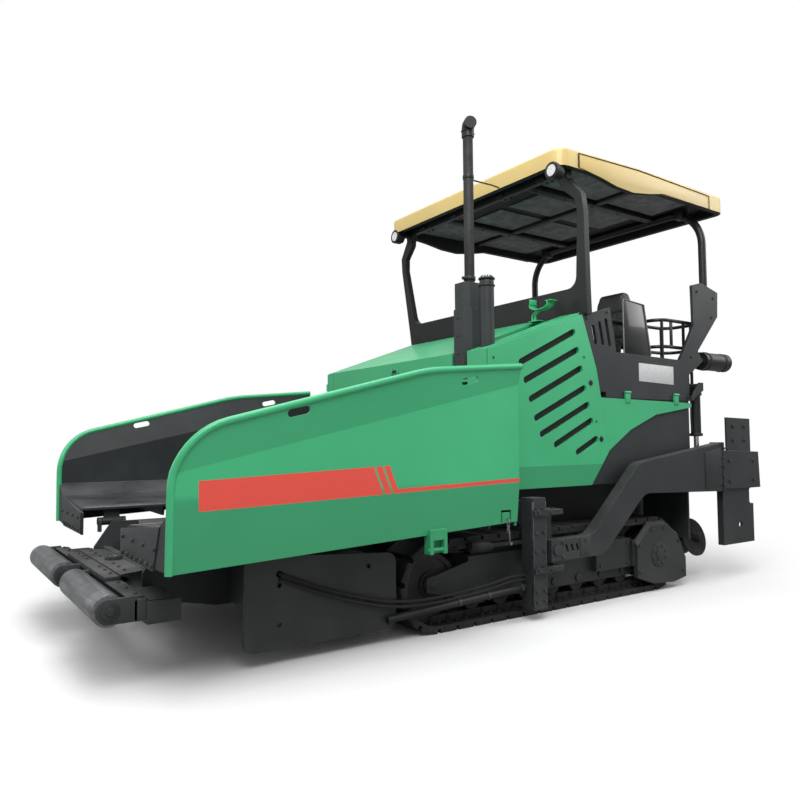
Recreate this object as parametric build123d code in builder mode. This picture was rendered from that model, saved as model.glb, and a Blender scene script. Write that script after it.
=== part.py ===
"""Asphalt paver on tracks: tractor with folding hopper, conveyors, augers and screed tow arms.

X points to the front (hopper and push rollers), Y to the left, Z up, in millimetres.
The origin lies on the ground under the middle of the machine's length and width.
Side plates are drawn in the XZ plane and cross-sections in the YZ plane.
"""
import os
from math import atan2, cos, degrees, hypot, pi, radians, sin

from build123d import *

os.makedirs("parts", exist_ok=True)

# ---------------------------------------------------------------- overall
length = 6340
front_x = length / 2
rear_x = -length / 2
seat_gap = 0.3           # play between pieces of different nodes that rest on each other
clear = 6                # least clearance round a piece that moves
sheet = 12               # steel plate of housings and covers

# ---------------------------------------------------------------- frame and conveyor
frame_y = 710            # outer face of the frame's longitudinal walls
frame_wall = 20
frame_bottom = 300
frame_rear = -2250
frame_front = 2780
hopper_wall_top = 750
bulkhead_x = 372         # front face of the hopper's rear wall and of the hood
tunnel_roof = 980
chain_z = 548            # height of the conveyor shafts
chain_radius = 82        # outside of the chain as it passes round its sprockets
chain_thick = 22
chain_width = 40
chain_y = (90, 620)
conveyor_front = 2560
conveyor_rear = -2160
flight_pitch = 315
flight_size = (34, 38)   # along the machine, and high
pan_thick = 15

# ---------------------------------------------------------------- side frames
side_frame_y = 1250
side_frame_front = 2330
side_frame_rear = 1230
side_frame_bottom = 100
side_frame_top = (685, 612)      # at the front and at the rear
side_frame_plate = 20

# ---------------------------------------------------------------- tracks
track_y = 1080
shoe_width = 320
shoe_count = 41
shoe_gap = 22
sprocket_x = -1640
idler_x = 850
track_radius = 330
shoe_plate = 22
pad_height = 30
link_width = 120
link_height = 50
roller_radius = 84
roller_count = 7
track_beam_width = 190
track_beam_z = (275, 505)

# ---------------------------------------------------------------- hopper wings
wing_y = 1660
wing_front = 2890
wing_rear_top = 392
wing_rear_bottom = 440
wing_bottom_front = 690
wing_bottom_rear = 800
wing_plate = 16
wing_crown = (1250, 1830)        # where the top edge turns nearly level
wing_nose_z = 1425               # height of the sharp nose before it is rounded
wing_tail_z = 1905
wing_nose_radius = 300
wing_floor_inner = (700, 812)    # underside of the wing's floor at the conveyor
wing_floor_outer_z = 1005
wing_lip_z = (640, 826)
wing_pin_y = 750
wing_pin_z = 750
wing_pin_radius = 18
wing_tube_radius = 32
wing_tube_length = 150
wing_tube_x = (640, 1500, 2640)
wing_edge_radius = 24
wing_fold = 50
wing_base = (900, 360)           # pin of the folding cylinder's barrel, Y and Z
wing_eye = (1250, 845)           # eye of its rod at rest, Y and Z
wing_cylinder_x = 1790

# ---------------------------------------------------------------- push beam
push_pivot_x = 2790
push_beam_x = (2900, 2985)
push_beam_z = (385, 545)
push_roller_radius = 90
push_roller_x = front_x - push_roller_radius
push_roller_z = 455
push_roller_y = (75, 985)

# ---------------------------------------------------------------- tow points and tow arms
arm_y = 1420
arm_thick = 100
arm_front = -115
tow_pin_x = -175
tow_pin_z = 515
tow_pin_radius = 26
guide_x = (-58, 78)
guide_y = (1290, 1420)
guide_z = (85, 930)
slider_z = (378, 815)
screed_pin = (-2840, 520)        # hole for the screed's pin, X and Z
screed_pin_radius = 30
screed_bolts = (-2850, 1430)     # centre of the screed's bolts, X and Z
screed_bolt_spacing = (200, 140)
screed_bolt_radius = 11

# ---------------------------------------------------------------- hood
hood_y = 1275
door_thick = 25
hood_front_z = 2083
hood_rear = (-690, 2460)
hood_bottom = 990.3
lid_y = (-1140, 820)             # the lid's edges, right and left
hinge_z = (1180, 1540, 1900)     # the side doors' hinges
hinge_height = 50
hinge_radius = 12
hinge_pin = 6
lid_hinge_y = (-900, -160, 580)
lid_hinge = (-678, 2448)         # the lid's hinge axis, X and Z
lid_hinge_radius = 10
notch_y = (826, 1015)            # recess that holds the exhaust
air_x = 240                      # engine's air intake
air_y = 1110
air_radius = 58

# ---------------------------------------------------------------- canopy
canopy_front = -444
canopy_rear = -2924
canopy_y = 1280
canopy_bottom = 3705
canopy_top = 3861
hoop_top = canopy_bottom + 80 - seat_gap
hoop_tube = 38

# ---------------------------------------------------------------- operator platform
platform_front = -1010
platform_rear = -2250
platform_z = 1790
platform_y = 1250

# ---------------------------------------------------------------- screed lift cylinders
lift_x = -2380
lift_y = 1220
lift_top_z = 1880

# ---------------------------------------------------------------- augers
auger_x = -2450
auger_z = 400
auger_radius = 185
auger_y = (56, 1200)


def side_plane(y):
    """XZ sketch plane at a given Y; a positive extrusion goes towards -Y."""
    return Plane.XZ.offset(-y)


def cross_plane(x):
    """YZ sketch plane at a given X; a positive extrusion goes towards +X."""
    return Plane.YZ.offset(x)


def level(z):
    """XY sketch plane at a given height."""
    return Plane.XY.offset(z)


def block(x, y, z):
    """Add a box between pairs of coordinates to the part in progress."""
    with Locations(((x[0] + x[1]) / 2, (y[0] + y[1]) / 2, (z[0] + z[1]) / 2)):
        Box(abs(x[1] - x[0]), abs(y[1] - y[0]), abs(z[1] - z[0]))


def outline(points):
    """Add the closed outline through the points to the sketch in progress."""
    Polygon(*points, align=None)


def write(piece, name):
    piece.part.label = name
    export_step(piece.part, f"parts/{name}.step")


def write_pair(piece, name):
    """Write the left piece, and its mirror image on the right."""
    write(piece, f"{name}_left")
    with BuildPart() as other_side:
        mirror(piece.part, about=Plane.XZ)
    write(other_side, f"{name}_right")


def write_both(piece, name):
    """Write the left piece and its mirror image on the right as two solids of one node."""
    with BuildPart() as both:
        add(piece.part)
        mirror(piece.part, about=Plane.XZ)
    write(both, name)


# ================================================================ main frame
deck_top = chain_z + chain_radius - chain_thick - seat_gap
flight_bottom = chain_z - chain_radius - 20
pan_top = flight_bottom - seat_gap
with BuildPart() as main_frame:
    with BuildSketch(side_plane(frame_y)):
        outline(
            [
                (frame_front, 400),
                (frame_front, 560),
                (frame_front - 130, hopper_wall_top),
                (bulkhead_x, hopper_wall_top),
                (bulkhead_x, tunnel_roof),
                (frame_rear, tunnel_roof),
                (frame_rear, frame_bottom + 120),
                (frame_rear + 250, frame_bottom),
                (frame_front - 480, frame_bottom),
            ]
        )
    extrude(amount=frame_wall)
    mirror(about=Plane.XZ)
    inner = frame_y - frame_wall
    block((frame_rear + 100, conveyor_front), (-inner, inner), (pan_top - pan_thick, pan_top))
    block((frame_rear + 260, conveyor_front - 130), (-inner, inner), (deck_top - pan_thick, deck_top))
    block((frame_rear, bulkhead_x), (-inner, inner), (tunnel_roof - 20, tunnel_roof))
    # the hopper's rear wall, open at the conveyor tunnel
    with BuildSketch(cross_plane(bulkhead_x - 20)):
        outline([(-1240, 990), (-1240, 700), (-frame_y, 700), (-frame_y, tunnel_roof - 20),
                 (frame_y, tunnel_roof - 20), (frame_y, 700), (1240, 700), (1240, 990)])
    extrude(amount=20)
    # ridge over the inner chains and slopes over the outer ones
    ridge_start = bulkhead_x + 50
    with BuildSketch(cross_plane(ridge_start)):
        outline([(-30, deck_top - 5), (-30, 665), (-115, 665), (-115, 680), (0, 735), (115, 680), (115, 665),
                 (30, 665), (30, deck_top - 5)])
        for s in (-1, 1):
            outline([(s * (inner + 1), 732), (s * (inner + 1), 748), (s * 585, 690), (s * 585, 674)])
    extrude(amount=conveyor_front - 110 - ridge_start)
    # front cross member, its pivot lugs and the plate over them
    block((frame_front - 120, frame_front - 62), (-inner, inner), (370, 555))
    for z in (385, 515):
        with BuildSketch(level(z)):
            with BuildLine():
                Polyline((frame_front - 80, 150), (push_pivot_x, 60), (push_pivot_x, -60),
                         (frame_front - 80, -150), close=True)
            make_face()
            with Locations((push_pivot_x, 0)):
                Circle(60)
        extrude(amount=25)
    with Locations((push_pivot_x, 0, 462)):
        Cylinder(24, 150)
    # rear cross member
    block((frame_rear + 20, frame_rear + 80), (-inner, inner), (pan_top - pan_thick - 60, pan_top - 5))
    # wing hinge lugs and pins
    for s in (-1, 1):
        for x in wing_tube_x:
            for side in (-1, 1):
                offset = side * (wing_tube_length / 2 + clear + 12.5)
                with Locations((x + offset, s * wing_pin_y, wing_pin_z)):
                    Cylinder(wing_tube_radius, 25, rotation=(0, 90, 0))
                block((x + offset - 12.5, x + offset + 12.5), (s * frame_y, s * wing_pin_y),
                      (wing_pin_z - 80, wing_pin_z))
            with Locations((x, s * wing_pin_y, wing_pin_z)):
                Cylinder(wing_pin_radius, wing_tube_length + 60, rotation=(0, 90, 0))
        # lugs and pin of the wing's folding cylinder
        for x in (wing_cylinder_x - 40, wing_cylinder_x + 40):
            with BuildSketch(cross_plane(x - 8)):
                outline([(s * frame_y, 310), (s * frame_y, 420), (s * wing_base[0], wing_base[1] + 45),
                         (s * (wing_base[0] + 45), wing_base[1]), (s * wing_base[0], wing_base[1] - 45)])
            extrude(amount=16)
        with Locations((wing_cylinder_x, s * wing_base[0], wing_base[1])):
            Cylinder(18, 110, rotation=(0, 90, 0))
write(main_frame, "main_frame")

# ================================================================ conveyors
with BuildPart() as conveyor:
    for y in chain_y:
        with BuildSketch(side_plane(y + chain_width / 2)):
            with Locations(((conveyor_front + conveyor_rear) / 2, chain_z)):
                SlotCenterToCenter(conveyor_front - conveyor_rear, 2 * chain_radius)
                SlotCenterToCenter(conveyor_front - conveyor_rear, 2 * (chain_radius - chain_thick),
                                   mode=Mode.SUBTRACT)
        extrude(amount=chain_width)
    flight_y = (chain_y[0] - chain_width / 2, chain_y[1] + chain_width / 2)
    flight_count = int((conveyor_front - conveyor_rear - 300) / flight_pitch)
    for i in range(flight_count):
        x = conveyor_rear + 180 + i * flight_pitch
        block((x, x + flight_size[0]), flight_y, (deck_top + 6, deck_top + 6 + flight_size[1]))
        block((x, x + flight_size[0]), flight_y, (flight_bottom, flight_bottom + flight_size[1]))
write_both(conveyor, "conveyors")

with BuildPart() as conveyor_shafts:
    for x in (conveyor_front, conveyor_rear):
        with Locations((x, 0, chain_z)):
            Cylinder(36, 2 * (inner - seat_gap), rotation=(90, 0, 0))
        for y in chain_y:
            for s in (-1, 1):
                with Locations((x, s * y, chain_z)):
                    Cylinder(chain_radius - chain_thick - seat_gap, 50, rotation=(90, 0, 0))
write(conveyor_shafts, "conveyor_shafts")

# ================================================================ side frames
with BuildPart() as side_frame:
    with BuildSketch(side_plane(side_frame_y)) as plate:
        outline([(side_frame_front, side_frame_bottom), (side_frame_front, side_frame_top[0]),
                 (side_frame_rear, side_frame_top[1]), (side_frame_rear, side_frame_bottom)])
        fillet(plate.vertices(), 70)
        for x, z, r in ((2100, 560, 22), (2100, 490, 14), (2100, 250, 14), (1450, 540, 14), (1450, 300, 14)):
            with Locations((x, z)):
                Circle(r, mode=Mode.SUBTRACT)
    extrude(amount=side_frame_plate)
    for x in (side_frame_rear + 110, side_frame_front - 120):
        block((x - 10, x + 10), (frame_y + seat_gap, side_frame_y - side_frame_plate), (320, 590))
    for x in ((side_frame_rear + 110, wing_cylinder_x - 120), (wing_cylinder_x + 120, side_frame_front - 120)):
        block(x, (frame_y + seat_gap, side_frame_y - side_frame_plate), (570, 590))
write_both(side_frame, "side_frames")

# ================================================================ tracks
link_outer = track_radius - shoe_plate - pad_height
link_inner = link_outer - link_height
straight = idler_x - sprocket_x
shoe_radius = link_outer + shoe_plate / 2
loop_length = 2 * straight + 2 * pi * shoe_radius
shoe_pitch = loop_length / shoe_count


def along_track(distance, radius):
    """Point and heading on the track at a distance from the rear end of its lower run."""
    arc = pi * shoe_radius
    if distance < straight:
        return sprocket_x + distance, track_radius - radius, 0
    distance -= straight
    if distance < arc:
        turn = distance / shoe_radius
        return idler_x + radius * sin(turn), track_radius - radius * cos(turn), degrees(turn)
    distance -= arc
    if distance < straight:
        return idler_x - distance, track_radius + radius, 180
    turn = (distance - straight) / shoe_radius
    return sprocket_x - radius * sin(turn), track_radius + radius * cos(turn), 180 + degrees(turn)


with BuildPart() as track:
    with BuildSketch(side_plane(track_y + shoe_width / 2)):
        with Locations(((idler_x + sprocket_x) / 2, track_radius)):
            SlotCenterToCenter(straight, 2 * (link_outer + shoe_plate))
            SlotCenterToCenter(straight, 2 * link_outer, mode=Mode.SUBTRACT)
        for i in range(shoe_count):
            x, z, heading = along_track((i + 0.5) * shoe_pitch, link_outer + shoe_plate / 2 + pad_height / 2)
            with Locations(Location((x, z, 0), (0, 0, heading))):
                Rectangle(shoe_pitch - shoe_gap, shoe_plate + pad_height)
    extrude(amount=shoe_width)
    with BuildSketch(side_plane(track_y + link_width / 2)):
        with Locations(((idler_x + sprocket_x) / 2, track_radius)):
            SlotCenterToCenter(straight, 2 * (link_outer + 5))
            SlotCenterToCenter(straight, 2 * link_inner, mode=Mode.SUBTRACT)
    extrude(amount=link_width)
write_pair(track, "track")

roller_z = track_radius - link_inner + roller_radius + seat_gap
wheel_radius = link_inner - seat_gap
with BuildPart() as track_frame:
    inner_y = track_y - track_beam_width / 2
    outer_y = track_y + track_beam_width / 2
    block((sprocket_x + 330, idler_x - 330), (inner_y, outer_y), track_beam_z)
    for y in (inner_y, outer_y - 18):
        with BuildSketch(side_plane(y + 18)):
            outline([(sprocket_x + 300, 165), (sprocket_x + 300, 480), (sprocket_x - 60, 400), (sprocket_x - 60, 260)])
            outline([(sprocket_x + 290, 165), (sprocket_x + 290, 300), (idler_x - 300, 300), (idler_x - 300, 165)])
            outline([(idler_x - 340, 190), (idler_x - 340, 470), (idler_x + 60, 380), (idler_x + 60, 280)])
        extrude(amount=18)
    # slide rail under the upper run
    block((sprocket_x + 400, idler_x - 400), (track_y - 40, track_y + 40),
          (track_beam_z[1], track_radius + link_inner - seat_gap))
    # cover beam outside the loop, and the brackets that carry the beam from the frame
    block((-1300, -850), (outer_y, 1236), (250, 500))
    for x in (-900, 350):
        block((x - 60, x + 60), (frame_y + seat_gap, inner_y), (320, 480))
write_both(track_frame, "track_frames")

with BuildPart() as track_wheels:
    wheel_gap = track_beam_width - 36 - 2 * clear
    with BuildSketch(side_plane(track_y + 45)):
        with Locations((sprocket_x, track_radius)):
            Circle(wheel_radius)
    extrude(amount=90)
    with Locations((idler_x, track_y, track_radius)):
        Cylinder(wheel_radius, 110, rotation=(90, 0, 0))
    with BuildSketch(side_plane(track_y + 55), side_plane(track_y - 45)):
        with Locations((idler_x, track_radius)):
            Circle(wheel_radius - 35)
            Circle(95, mode=Mode.SUBTRACT)
    extrude(amount=12, mode=Mode.SUBTRACT)
    for i in range(roller_count):
        x = sprocket_x + 380 + i * (straight - 760) / (roller_count - 1)
        with Locations((x, track_y, roller_z)):
            Cylinder(roller_radius, wheel_gap, rotation=(90, 0, 0))
write_both(track_wheels, "track_wheels")

# ================================================================ final drive guards
with BuildPart() as drive_guard:
    with BuildSketch(side_plane(1292)) as guard_face:
        outline([(-1330, 150), (-1330, 470), (-1520, 628), (-1740, 628), (-1950, 500), (-2040, 330),
                 (-2040, 90), (-1850, 60), (-1560, 75)])
    extrude(amount=46)
    chamfer(drive_guard.faces().sort_by(Axis.Y)[-1].edges().filter_by(
        lambda e: e.center().Z > 400), 30)
    hub_y = track_y + track_beam_width / 2 + seat_gap
    with Locations((sprocket_x, (hub_y + 1250) / 2, track_radius)):
        Cylinder(150, 1250 - hub_y, rotation=(90, 0, 0))
    block((-1345, -1302), (1180, 1262), (255, 480))
write_both(drive_guard, "drive_guards")

# ================================================================ hopper wings
floor_run = wing_y - wing_plate - wing_floor_inner[0]
floor_slope = (wing_floor_outer_z - wing_floor_inner[1]) / floor_run


def wing_floor_z(y):
    """Underside of the wing's floor at a given Y."""
    return wing_floor_inner[1] + (y - wing_floor_inner[0]) * floor_slope


with BuildPart() as wing:
    with BuildSketch(side_plane(wing_y)) as wall:
        outline([(wing_front, wing_bottom_front), (wing_front, wing_nose_z), wing_crown,
                 (wing_rear_top, wing_tail_z), (wing_rear_bottom, wing_bottom_rear)])
        fillet(wall.vertices().group_by(Axis.X)[-1].sort_by(Axis.Y)[-1], wing_nose_radius)
    extrude(amount=wing_plate)
    with BuildSketch(cross_plane(wing_rear_bottom)):
        outline([wing_floor_inner, (wing_y - wing_plate, wing_floor_outer_z),
                 (wing_y - wing_plate, wing_floor_outer_z + wing_plate),
                 (wing_floor_inner[0], wing_floor_inner[1] + wing_plate)])
    extrude(amount=wing_front - wing_plate - wing_rear_bottom)
    with BuildSketch(cross_plane(wing_front - wing_plate)):
        outline([(770, wing_lip_z[0]), (wing_y - 4, wing_bottom_front + 4), (wing_y - 4, wing_lip_z[1] + 4),
                 (wing_floor_inner[0], wing_lip_z[1])])
    extrude(amount=wing_plate)
    for x in (wing_rear_bottom, 1150, 2200):
        with BuildSketch(cross_plane(x)):
            outline([(820, 745), (wing_y - wing_plate, 760), (wing_y - wing_plate, wing_floor_z(wing_y - 20)),
                     (790, wing_floor_z(790))])
        extrude(amount=wing_plate)
    for x in wing_tube_x:
        with Locations((x, wing_pin_y, wing_pin_z)):
            Cylinder(wing_tube_radius, wing_tube_length, rotation=(0, 90, 0))
        block((x - 60, x + 60), (wing_pin_y - 12, wing_pin_y + 12), (wing_pin_z + 20, wing_floor_z(wing_pin_y) + 5))
        with Locations((x, wing_pin_y, wing_pin_z)):
            Cylinder(wing_pin_radius + seat_gap, wing_tube_length + 2, rotation=(0, 90, 0), mode=Mode.SUBTRACT)
    # lugs for the folding cylinder
    for x in (wing_cylinder_x - 46, wing_cylinder_x + 46):
        with BuildSketch(cross_plane(x - 8)):
            outline([(1210, 800), (1290, 800), (1330, wing_floor_z(1330) + 4), (1170, wing_floor_z(1170) + 4)])
        extrude(amount=16)
write_pair(wing, "wing")

# ================================================================ wing folding cylinders
wing_angle = degrees(atan2(wing_eye[1] - wing_base[1], wing_eye[0] - wing_base[0]))
wing_reach = hypot(wing_eye[1] - wing_base[1], wing_eye[0] - wing_base[0])
base_plane = Plane(origin=(wing_cylinder_x, wing_base[0], wing_base[1]), x_dir=(1, 0, 0),
                   z_dir=(0, cos(radians(wing_angle)), sin(radians(wing_angle))))
with BuildPart() as wing_barrel:
    with BuildSketch(base_plane):
        Circle(25)
    extrude(amount=70)
    with BuildSketch(base_plane.offset(62)):
        Circle(42)
    extrude(amount=wing_reach - 212)
    with Locations((wing_cylinder_x, wing_base[0], wing_base[1])):
        Cylinder(40, 50, rotation=(0, 90, 0))
        Cylinder(18 + seat_gap, 60, rotation=(0, 90, 0), mode=Mode.SUBTRACT)
    with BuildSketch(base_plane.offset(wing_reach - 460)):
        Circle(24 + seat_gap)
    extrude(amount=400, mode=Mode.SUBTRACT)
write_pair(wing_barrel, "wing_barrel")
with BuildPart() as wing_rod:
    with BuildSketch(base_plane.offset(wing_reach - 440)):
        Circle(24)
    extrude(amount=420)
    with Locations((wing_cylinder_x, wing_eye[0], wing_eye[1])):
        Cylinder(34, 60, rotation=(0, 90, 0))
write_pair(wing_rod, "wing_rod")

# ================================================================ push beam and rollers
with BuildPart() as push_beam:
    block(push_beam_x, (-push_roller_y[1] - 30, push_roller_y[1] + 30), push_beam_z)
    with BuildSketch(level(420)) as tongue:
        with BuildLine():
            Polyline((push_beam_x[0] + 5, 110), (push_pivot_x, 55), (push_pivot_x, -55),
                     (push_beam_x[0] + 5, -110), close=True)
        make_face()
        with Locations((push_pivot_x, 0)):
            Circle(55)
            Circle(24 + seat_gap, mode=Mode.SUBTRACT)
    extrude(amount=85)
    end_y = push_roller_y[1] + 6
    for y in (-end_y - 24, -30, end_y):
        width = 60 if y == -30 else 24
        with BuildSketch(side_plane(y + width)):
            with BuildLine():
                Polyline((push_beam_x[0], push_beam_z[0]), (push_roller_x, push_beam_z[0]),
                         (push_roller_x, push_beam_z[1] - 15), (push_beam_x[0], push_beam_z[1] - 15), close=True)
            make_face()
            with Locations((push_roller_x, push_roller_z)):
                Circle(70)
        extrude(amount=width)
    block((push_beam_x[0], push_beam_x[1] + 8), (-push_roller_y[1], push_roller_y[1]),
          (push_beam_z[1], push_beam_z[1] + 14))
    for y in (-1, 1):
        with Locations((push_roller_x, y * (push_roller_y[0] + push_roller_y[1]) / 2, push_roller_z)):
            Cylinder(22, push_roller_y[1] - push_roller_y[0] + 100, rotation=(90, 0, 0))
write(push_beam, "push_beam")
with BuildPart() as push_roller:
    with Locations((push_roller_x, (push_roller_y[0] + push_roller_y[1]) / 2, push_roller_z)):
        Cylinder(push_roller_radius, push_roller_y[1] - push_roller_y[0] - 40, rotation=(90, 0, 0))
        Cylinder(22 + seat_gap, push_roller_y[1] - push_roller_y[0], rotation=(90, 0, 0), mode=Mode.SUBTRACT)
write_pair(push_roller, "push_roller")

# ================================================================ tow point guides
with BuildPart() as tow_guide:
    block(guide_x, guide_y, guide_z)
    block((guide_x[0] + 10, guide_x[1] - 10), (frame_y + seat_gap, guide_y[0]), (720, 900))
write_both(tow_guide, "tow_guides")
with BuildPart() as tow_slider:
    slider_back = guide_x[0] - seat_gap
    block((slider_back - 170, slider_back), (1288, 1312), slider_z)
    for z in slider_z:
        block((slider_back - 170, slider_back), (1288, arm_y + 20), (z - 20, z + 20))
        block((slider_back - 60, guide_x[1] + clear), (guide_y[1] + seat_gap, arm_y + 26), (z - 20, z + 20))
    with Locations((tow_pin_x, 1360, tow_pin_z)):
        Cylinder(tow_pin_radius, 130, rotation=(90, 0, 0))
write_pair(tow_slider, "tow_slider")

# ================================================================ tow arms
arm_nose = 600
with BuildPart() as tow_arm:
    with BuildSketch(side_plane(arm_y)) as arm_side:
        outline([(arm_front, 432), (arm_front, arm_nose - 4), (-590, 597), (-1225, 1170), (-2490, 1335),
                 (-2490, 868), (-1285, 905), (-733, 430)])
        bends = [v for v in arm_side.vertices() if -1300 < v.X < -580]
        fillet(bends, 200)
        with Locations((tow_pin_x, tow_pin_z)):
            Circle(tow_pin_radius + seat_gap, mode=Mode.SUBTRACT)
        for x in (-290, -350, -410):
            with Locations((x, 520)):
                SlotOverall(70, 22, rotation=70, mode=Mode.SUBTRACT)
    extrude(amount=arm_thick)
    block((-2510, -2490), (arm_y - arm_thick - 30, arm_y + 10), (862, 1340))
    with Locations((-2380, arm_y - arm_thick - 22, 1080)):
        Cylinder(34, 46, rotation=(90, 0, 0))
write_pair(tow_arm, "tow_arm")
with BuildPart() as arm_bracket:
    with BuildSketch(side_plane(arm_y - 6)):
        outline([(-2510 - seat_gap, 892), (-2510 - seat_gap, 1262), (rear_x + 20, 1240), (rear_x, 880),
                 (-2900, 880)])
    extrude(amount=30)
    with BuildSketch(side_plane(arm_y - 36)) as lower_plate:
        outline([(-2540, 340), (-2540, 900), (-3060, 900), (-3010, 860), (-3010, 740), (-3030, 720),
                 (-3080, 720), (-3080, 340)])
        with Locations((screed_pin[0], screed_pin[1])):
            Circle(screed_pin_radius, mode=Mode.SUBTRACT)
    extrude(amount=24)
    block((-2560, -2540), (arm_y - arm_thick, arm_y - 36), (340, 1240))
    with BuildSketch(side_plane(arm_y - 36)):
        outline([(-2640, 1200), (-2640, 1585), (-3060, 1575), (-3060, 1200)])
        with Locations((screed_bolts[0], screed_bolts[1])):
            with GridLocations(screed_bolt_spacing[0], screed_bolt_spacing[1], 2, 2):
                Circle(screed_bolt_radius, mode=Mode.SUBTRACT)
    extrude(amount=20)
write_pair(arm_bracket, "arm_bracket")

# ================================================================ screed lift cylinders
with BuildPart() as lift_barrel:
    with BuildSketch(level(1400)):
        with Locations((lift_x, lift_y)):
            Circle(48)
            Circle(24 + seat_gap, mode=Mode.SUBTRACT)
    extrude(amount=430)
    with Locations((lift_x, lift_y, 1840)):
        Cylinder(48, 30)
    with Locations((lift_x, lift_y, lift_top_z)):
        Cylinder(38, 100, rotation=(90, 0, 0))
        Cylinder(18 + seat_gap, 110, rotation=(90, 0, 0), mode=Mode.SUBTRACT)
write_pair(lift_barrel, "lift_barrel")
with BuildPart() as lift_rod:
    with BuildSketch(level(1100)):
        with Locations((lift_x, lift_y)):
            Circle(24)
    extrude(amount=540)
    with Locations((lift_x, lift_y, 1080)):
        Cylinder(38, 60, rotation=(90, 0, 0))
write_pair(lift_rod, "lift_rod")

# ================================================================ engine, hood, lid and doors
with BuildPart() as engine:
    block((-600, 250), (-380, 380), (tunnel_roof + seat_gap, 1750))
write(engine, "engine_block")

door_front = bulkhead_x - 4
hood_side_y = hood_y - door_thick - clear
with BuildPart() as hood:
    # front wall below the lid, rear wall, and the corner boxes on both sides
    block((bulkhead_x - 18, bulkhead_x), (-hood_side_y, notch_y[0] - 60), (hood_bottom, 1880))
    block((hood_rear[0], hood_rear[0] + 18), (-hood_side_y, hood_side_y), (hood_bottom, hood_rear[1] - 30))
    for y in ((lid_y[0] - clear, -hood_side_y), (notch_y[1], hood_side_y)):
        with BuildSketch(side_plane(max(y))):
            outline([(bulkhead_x, hood_bottom), (bulkhead_x, hood_front_z), hood_rear, (hood_rear[0], hood_rear[1] - 25),
                     (bulkhead_x - 25, hood_front_z - 22), (bulkhead_x - 25, hood_bottom)])
        extrude(amount=abs(y[1] - y[0]))
    # floor and back of the exhaust recess
    block((60, bulkhead_x), (notch_y[0] - 60, notch_y[1] + 10), (1840, 1860))
    block((60, 72), (notch_y[0] - 60, notch_y[1] + 10), (1840, 2130))
    with Locations((air_x, air_y, 2100)):
        Cylinder(air_radius + seat_gap, 200, mode=Mode.SUBTRACT)
    # ears and pins of the side doors' hinges
    for s in (-1, 1):
        for z in hinge_z:
            block((door_front - hinge_radius, door_front + 4), (s * (hood_side_y - 10), s * hood_y),
                  (z, z + hinge_height / 2))
            with Locations((door_front, s * hood_y, z)):
                Cylinder(hinge_radius, hinge_height / 2, align=(Align.CENTER, Align.CENTER, Align.MIN))
                Cylinder(hinge_pin, hinge_height, align=(Align.CENTER, Align.CENTER, Align.MIN))
    # ears and pins of the lid's hinge
    for y in lid_hinge_y:
        block((hood_rear[0], hood_rear[0] + 18), (y - 22, y + 22), (hood_rear[1] - 40, lid_hinge[1]))
        with Locations((lid_hinge[0], y, lid_hinge[1])):
            Cylinder(lid_hinge_radius, 44, rotation=(90, 0, 0))
            Cylinder(hinge_pin, 100, rotation=(90, 0, 0))
write(hood, "hood")

with BuildPart() as hood_lid:
    with BuildSketch(side_plane(lid_y[1])):
        outline([(bulkhead_x, 1886), (bulkhead_x, hood_front_z), (hood_rear[0] + clear, hood_rear[1] - 2),
                 (hood_rear[0] + clear, hood_rear[1] - 22), (bulkhead_x - 20, hood_front_z - 22),
                 (bulkhead_x - 20, 1886)])
    extrude(amount=lid_y[1] - lid_y[0])
    with Locations((lid_hinge[0] + 3, (lid_y[0] + lid_y[1]) / 2, lid_hinge[1] - 2)):
        Cylinder(lid_hinge_radius, lid_y[1] - lid_y[0], rotation=(90, 0, 0))
    for y in lid_hinge_y:
        with Locations((lid_hinge[0], y, lid_hinge[1])):
            Box(40, 44 + 2 * clear, 60, mode=Mode.SUBTRACT)
            Cylinder(hinge_pin + seat_gap, 110, rotation=(90, 0, 0), mode=Mode.SUBTRACT)
write(hood_lid, "hood_lid")

door_edge = [(-690, 2440), (-860, 1980), (-970, 1460), (-1000, 1270), (-770, hood_bottom)]
behind_door = [(x - clear - 2, z) for x, z in door_edge]
slot_rows = ((60, 1980, -600, 2290), (10, 1840, -640, 2140), (-45, 1690, -680, 1985), (-100, 1540, -720, 1820),
             (-160, 1410, -760, 1680), (-320, 1325, -800, 1545), (-580, 1260, -860, 1390))
with BuildPart() as side_door:
    with BuildSketch(side_plane(hood_y)):
        outline([(door_front, hood_bottom), (door_front, hood_front_z - 6)] + door_edge)
        for x1, z1, x2, z2 in slot_rows:
            with Locations(((x1 + x2) / 2, (z1 + z2) / 2)):
                SlotOverall(hypot(x2 - x1, z2 - z1), 56, rotation=degrees(atan2(z2 - z1, x2 - x1)),
                            mode=Mode.SUBTRACT)
    extrude(amount=door_thick)
    for z in hinge_z:
        with Locations((door_front, hood_y, z - clear)):
            Box(2 * hinge_radius + 10, 80, hinge_height / 2 + clear + seat_gap,
                align=(Align.CENTER, Align.CENTER, Align.MIN), mode=Mode.SUBTRACT)
        with Locations((door_front, hood_y, z + hinge_height / 2 + seat_gap)):
            Cylinder(hinge_radius, hinge_height, align=(Align.CENTER, Align.CENTER, Align.MIN))
            Cylinder(hinge_pin + seat_gap, hinge_height, align=(Align.CENTER, Align.CENTER, Align.MIN),
                     mode=Mode.SUBTRACT)
write_pair(side_door, "side_door")

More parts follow.
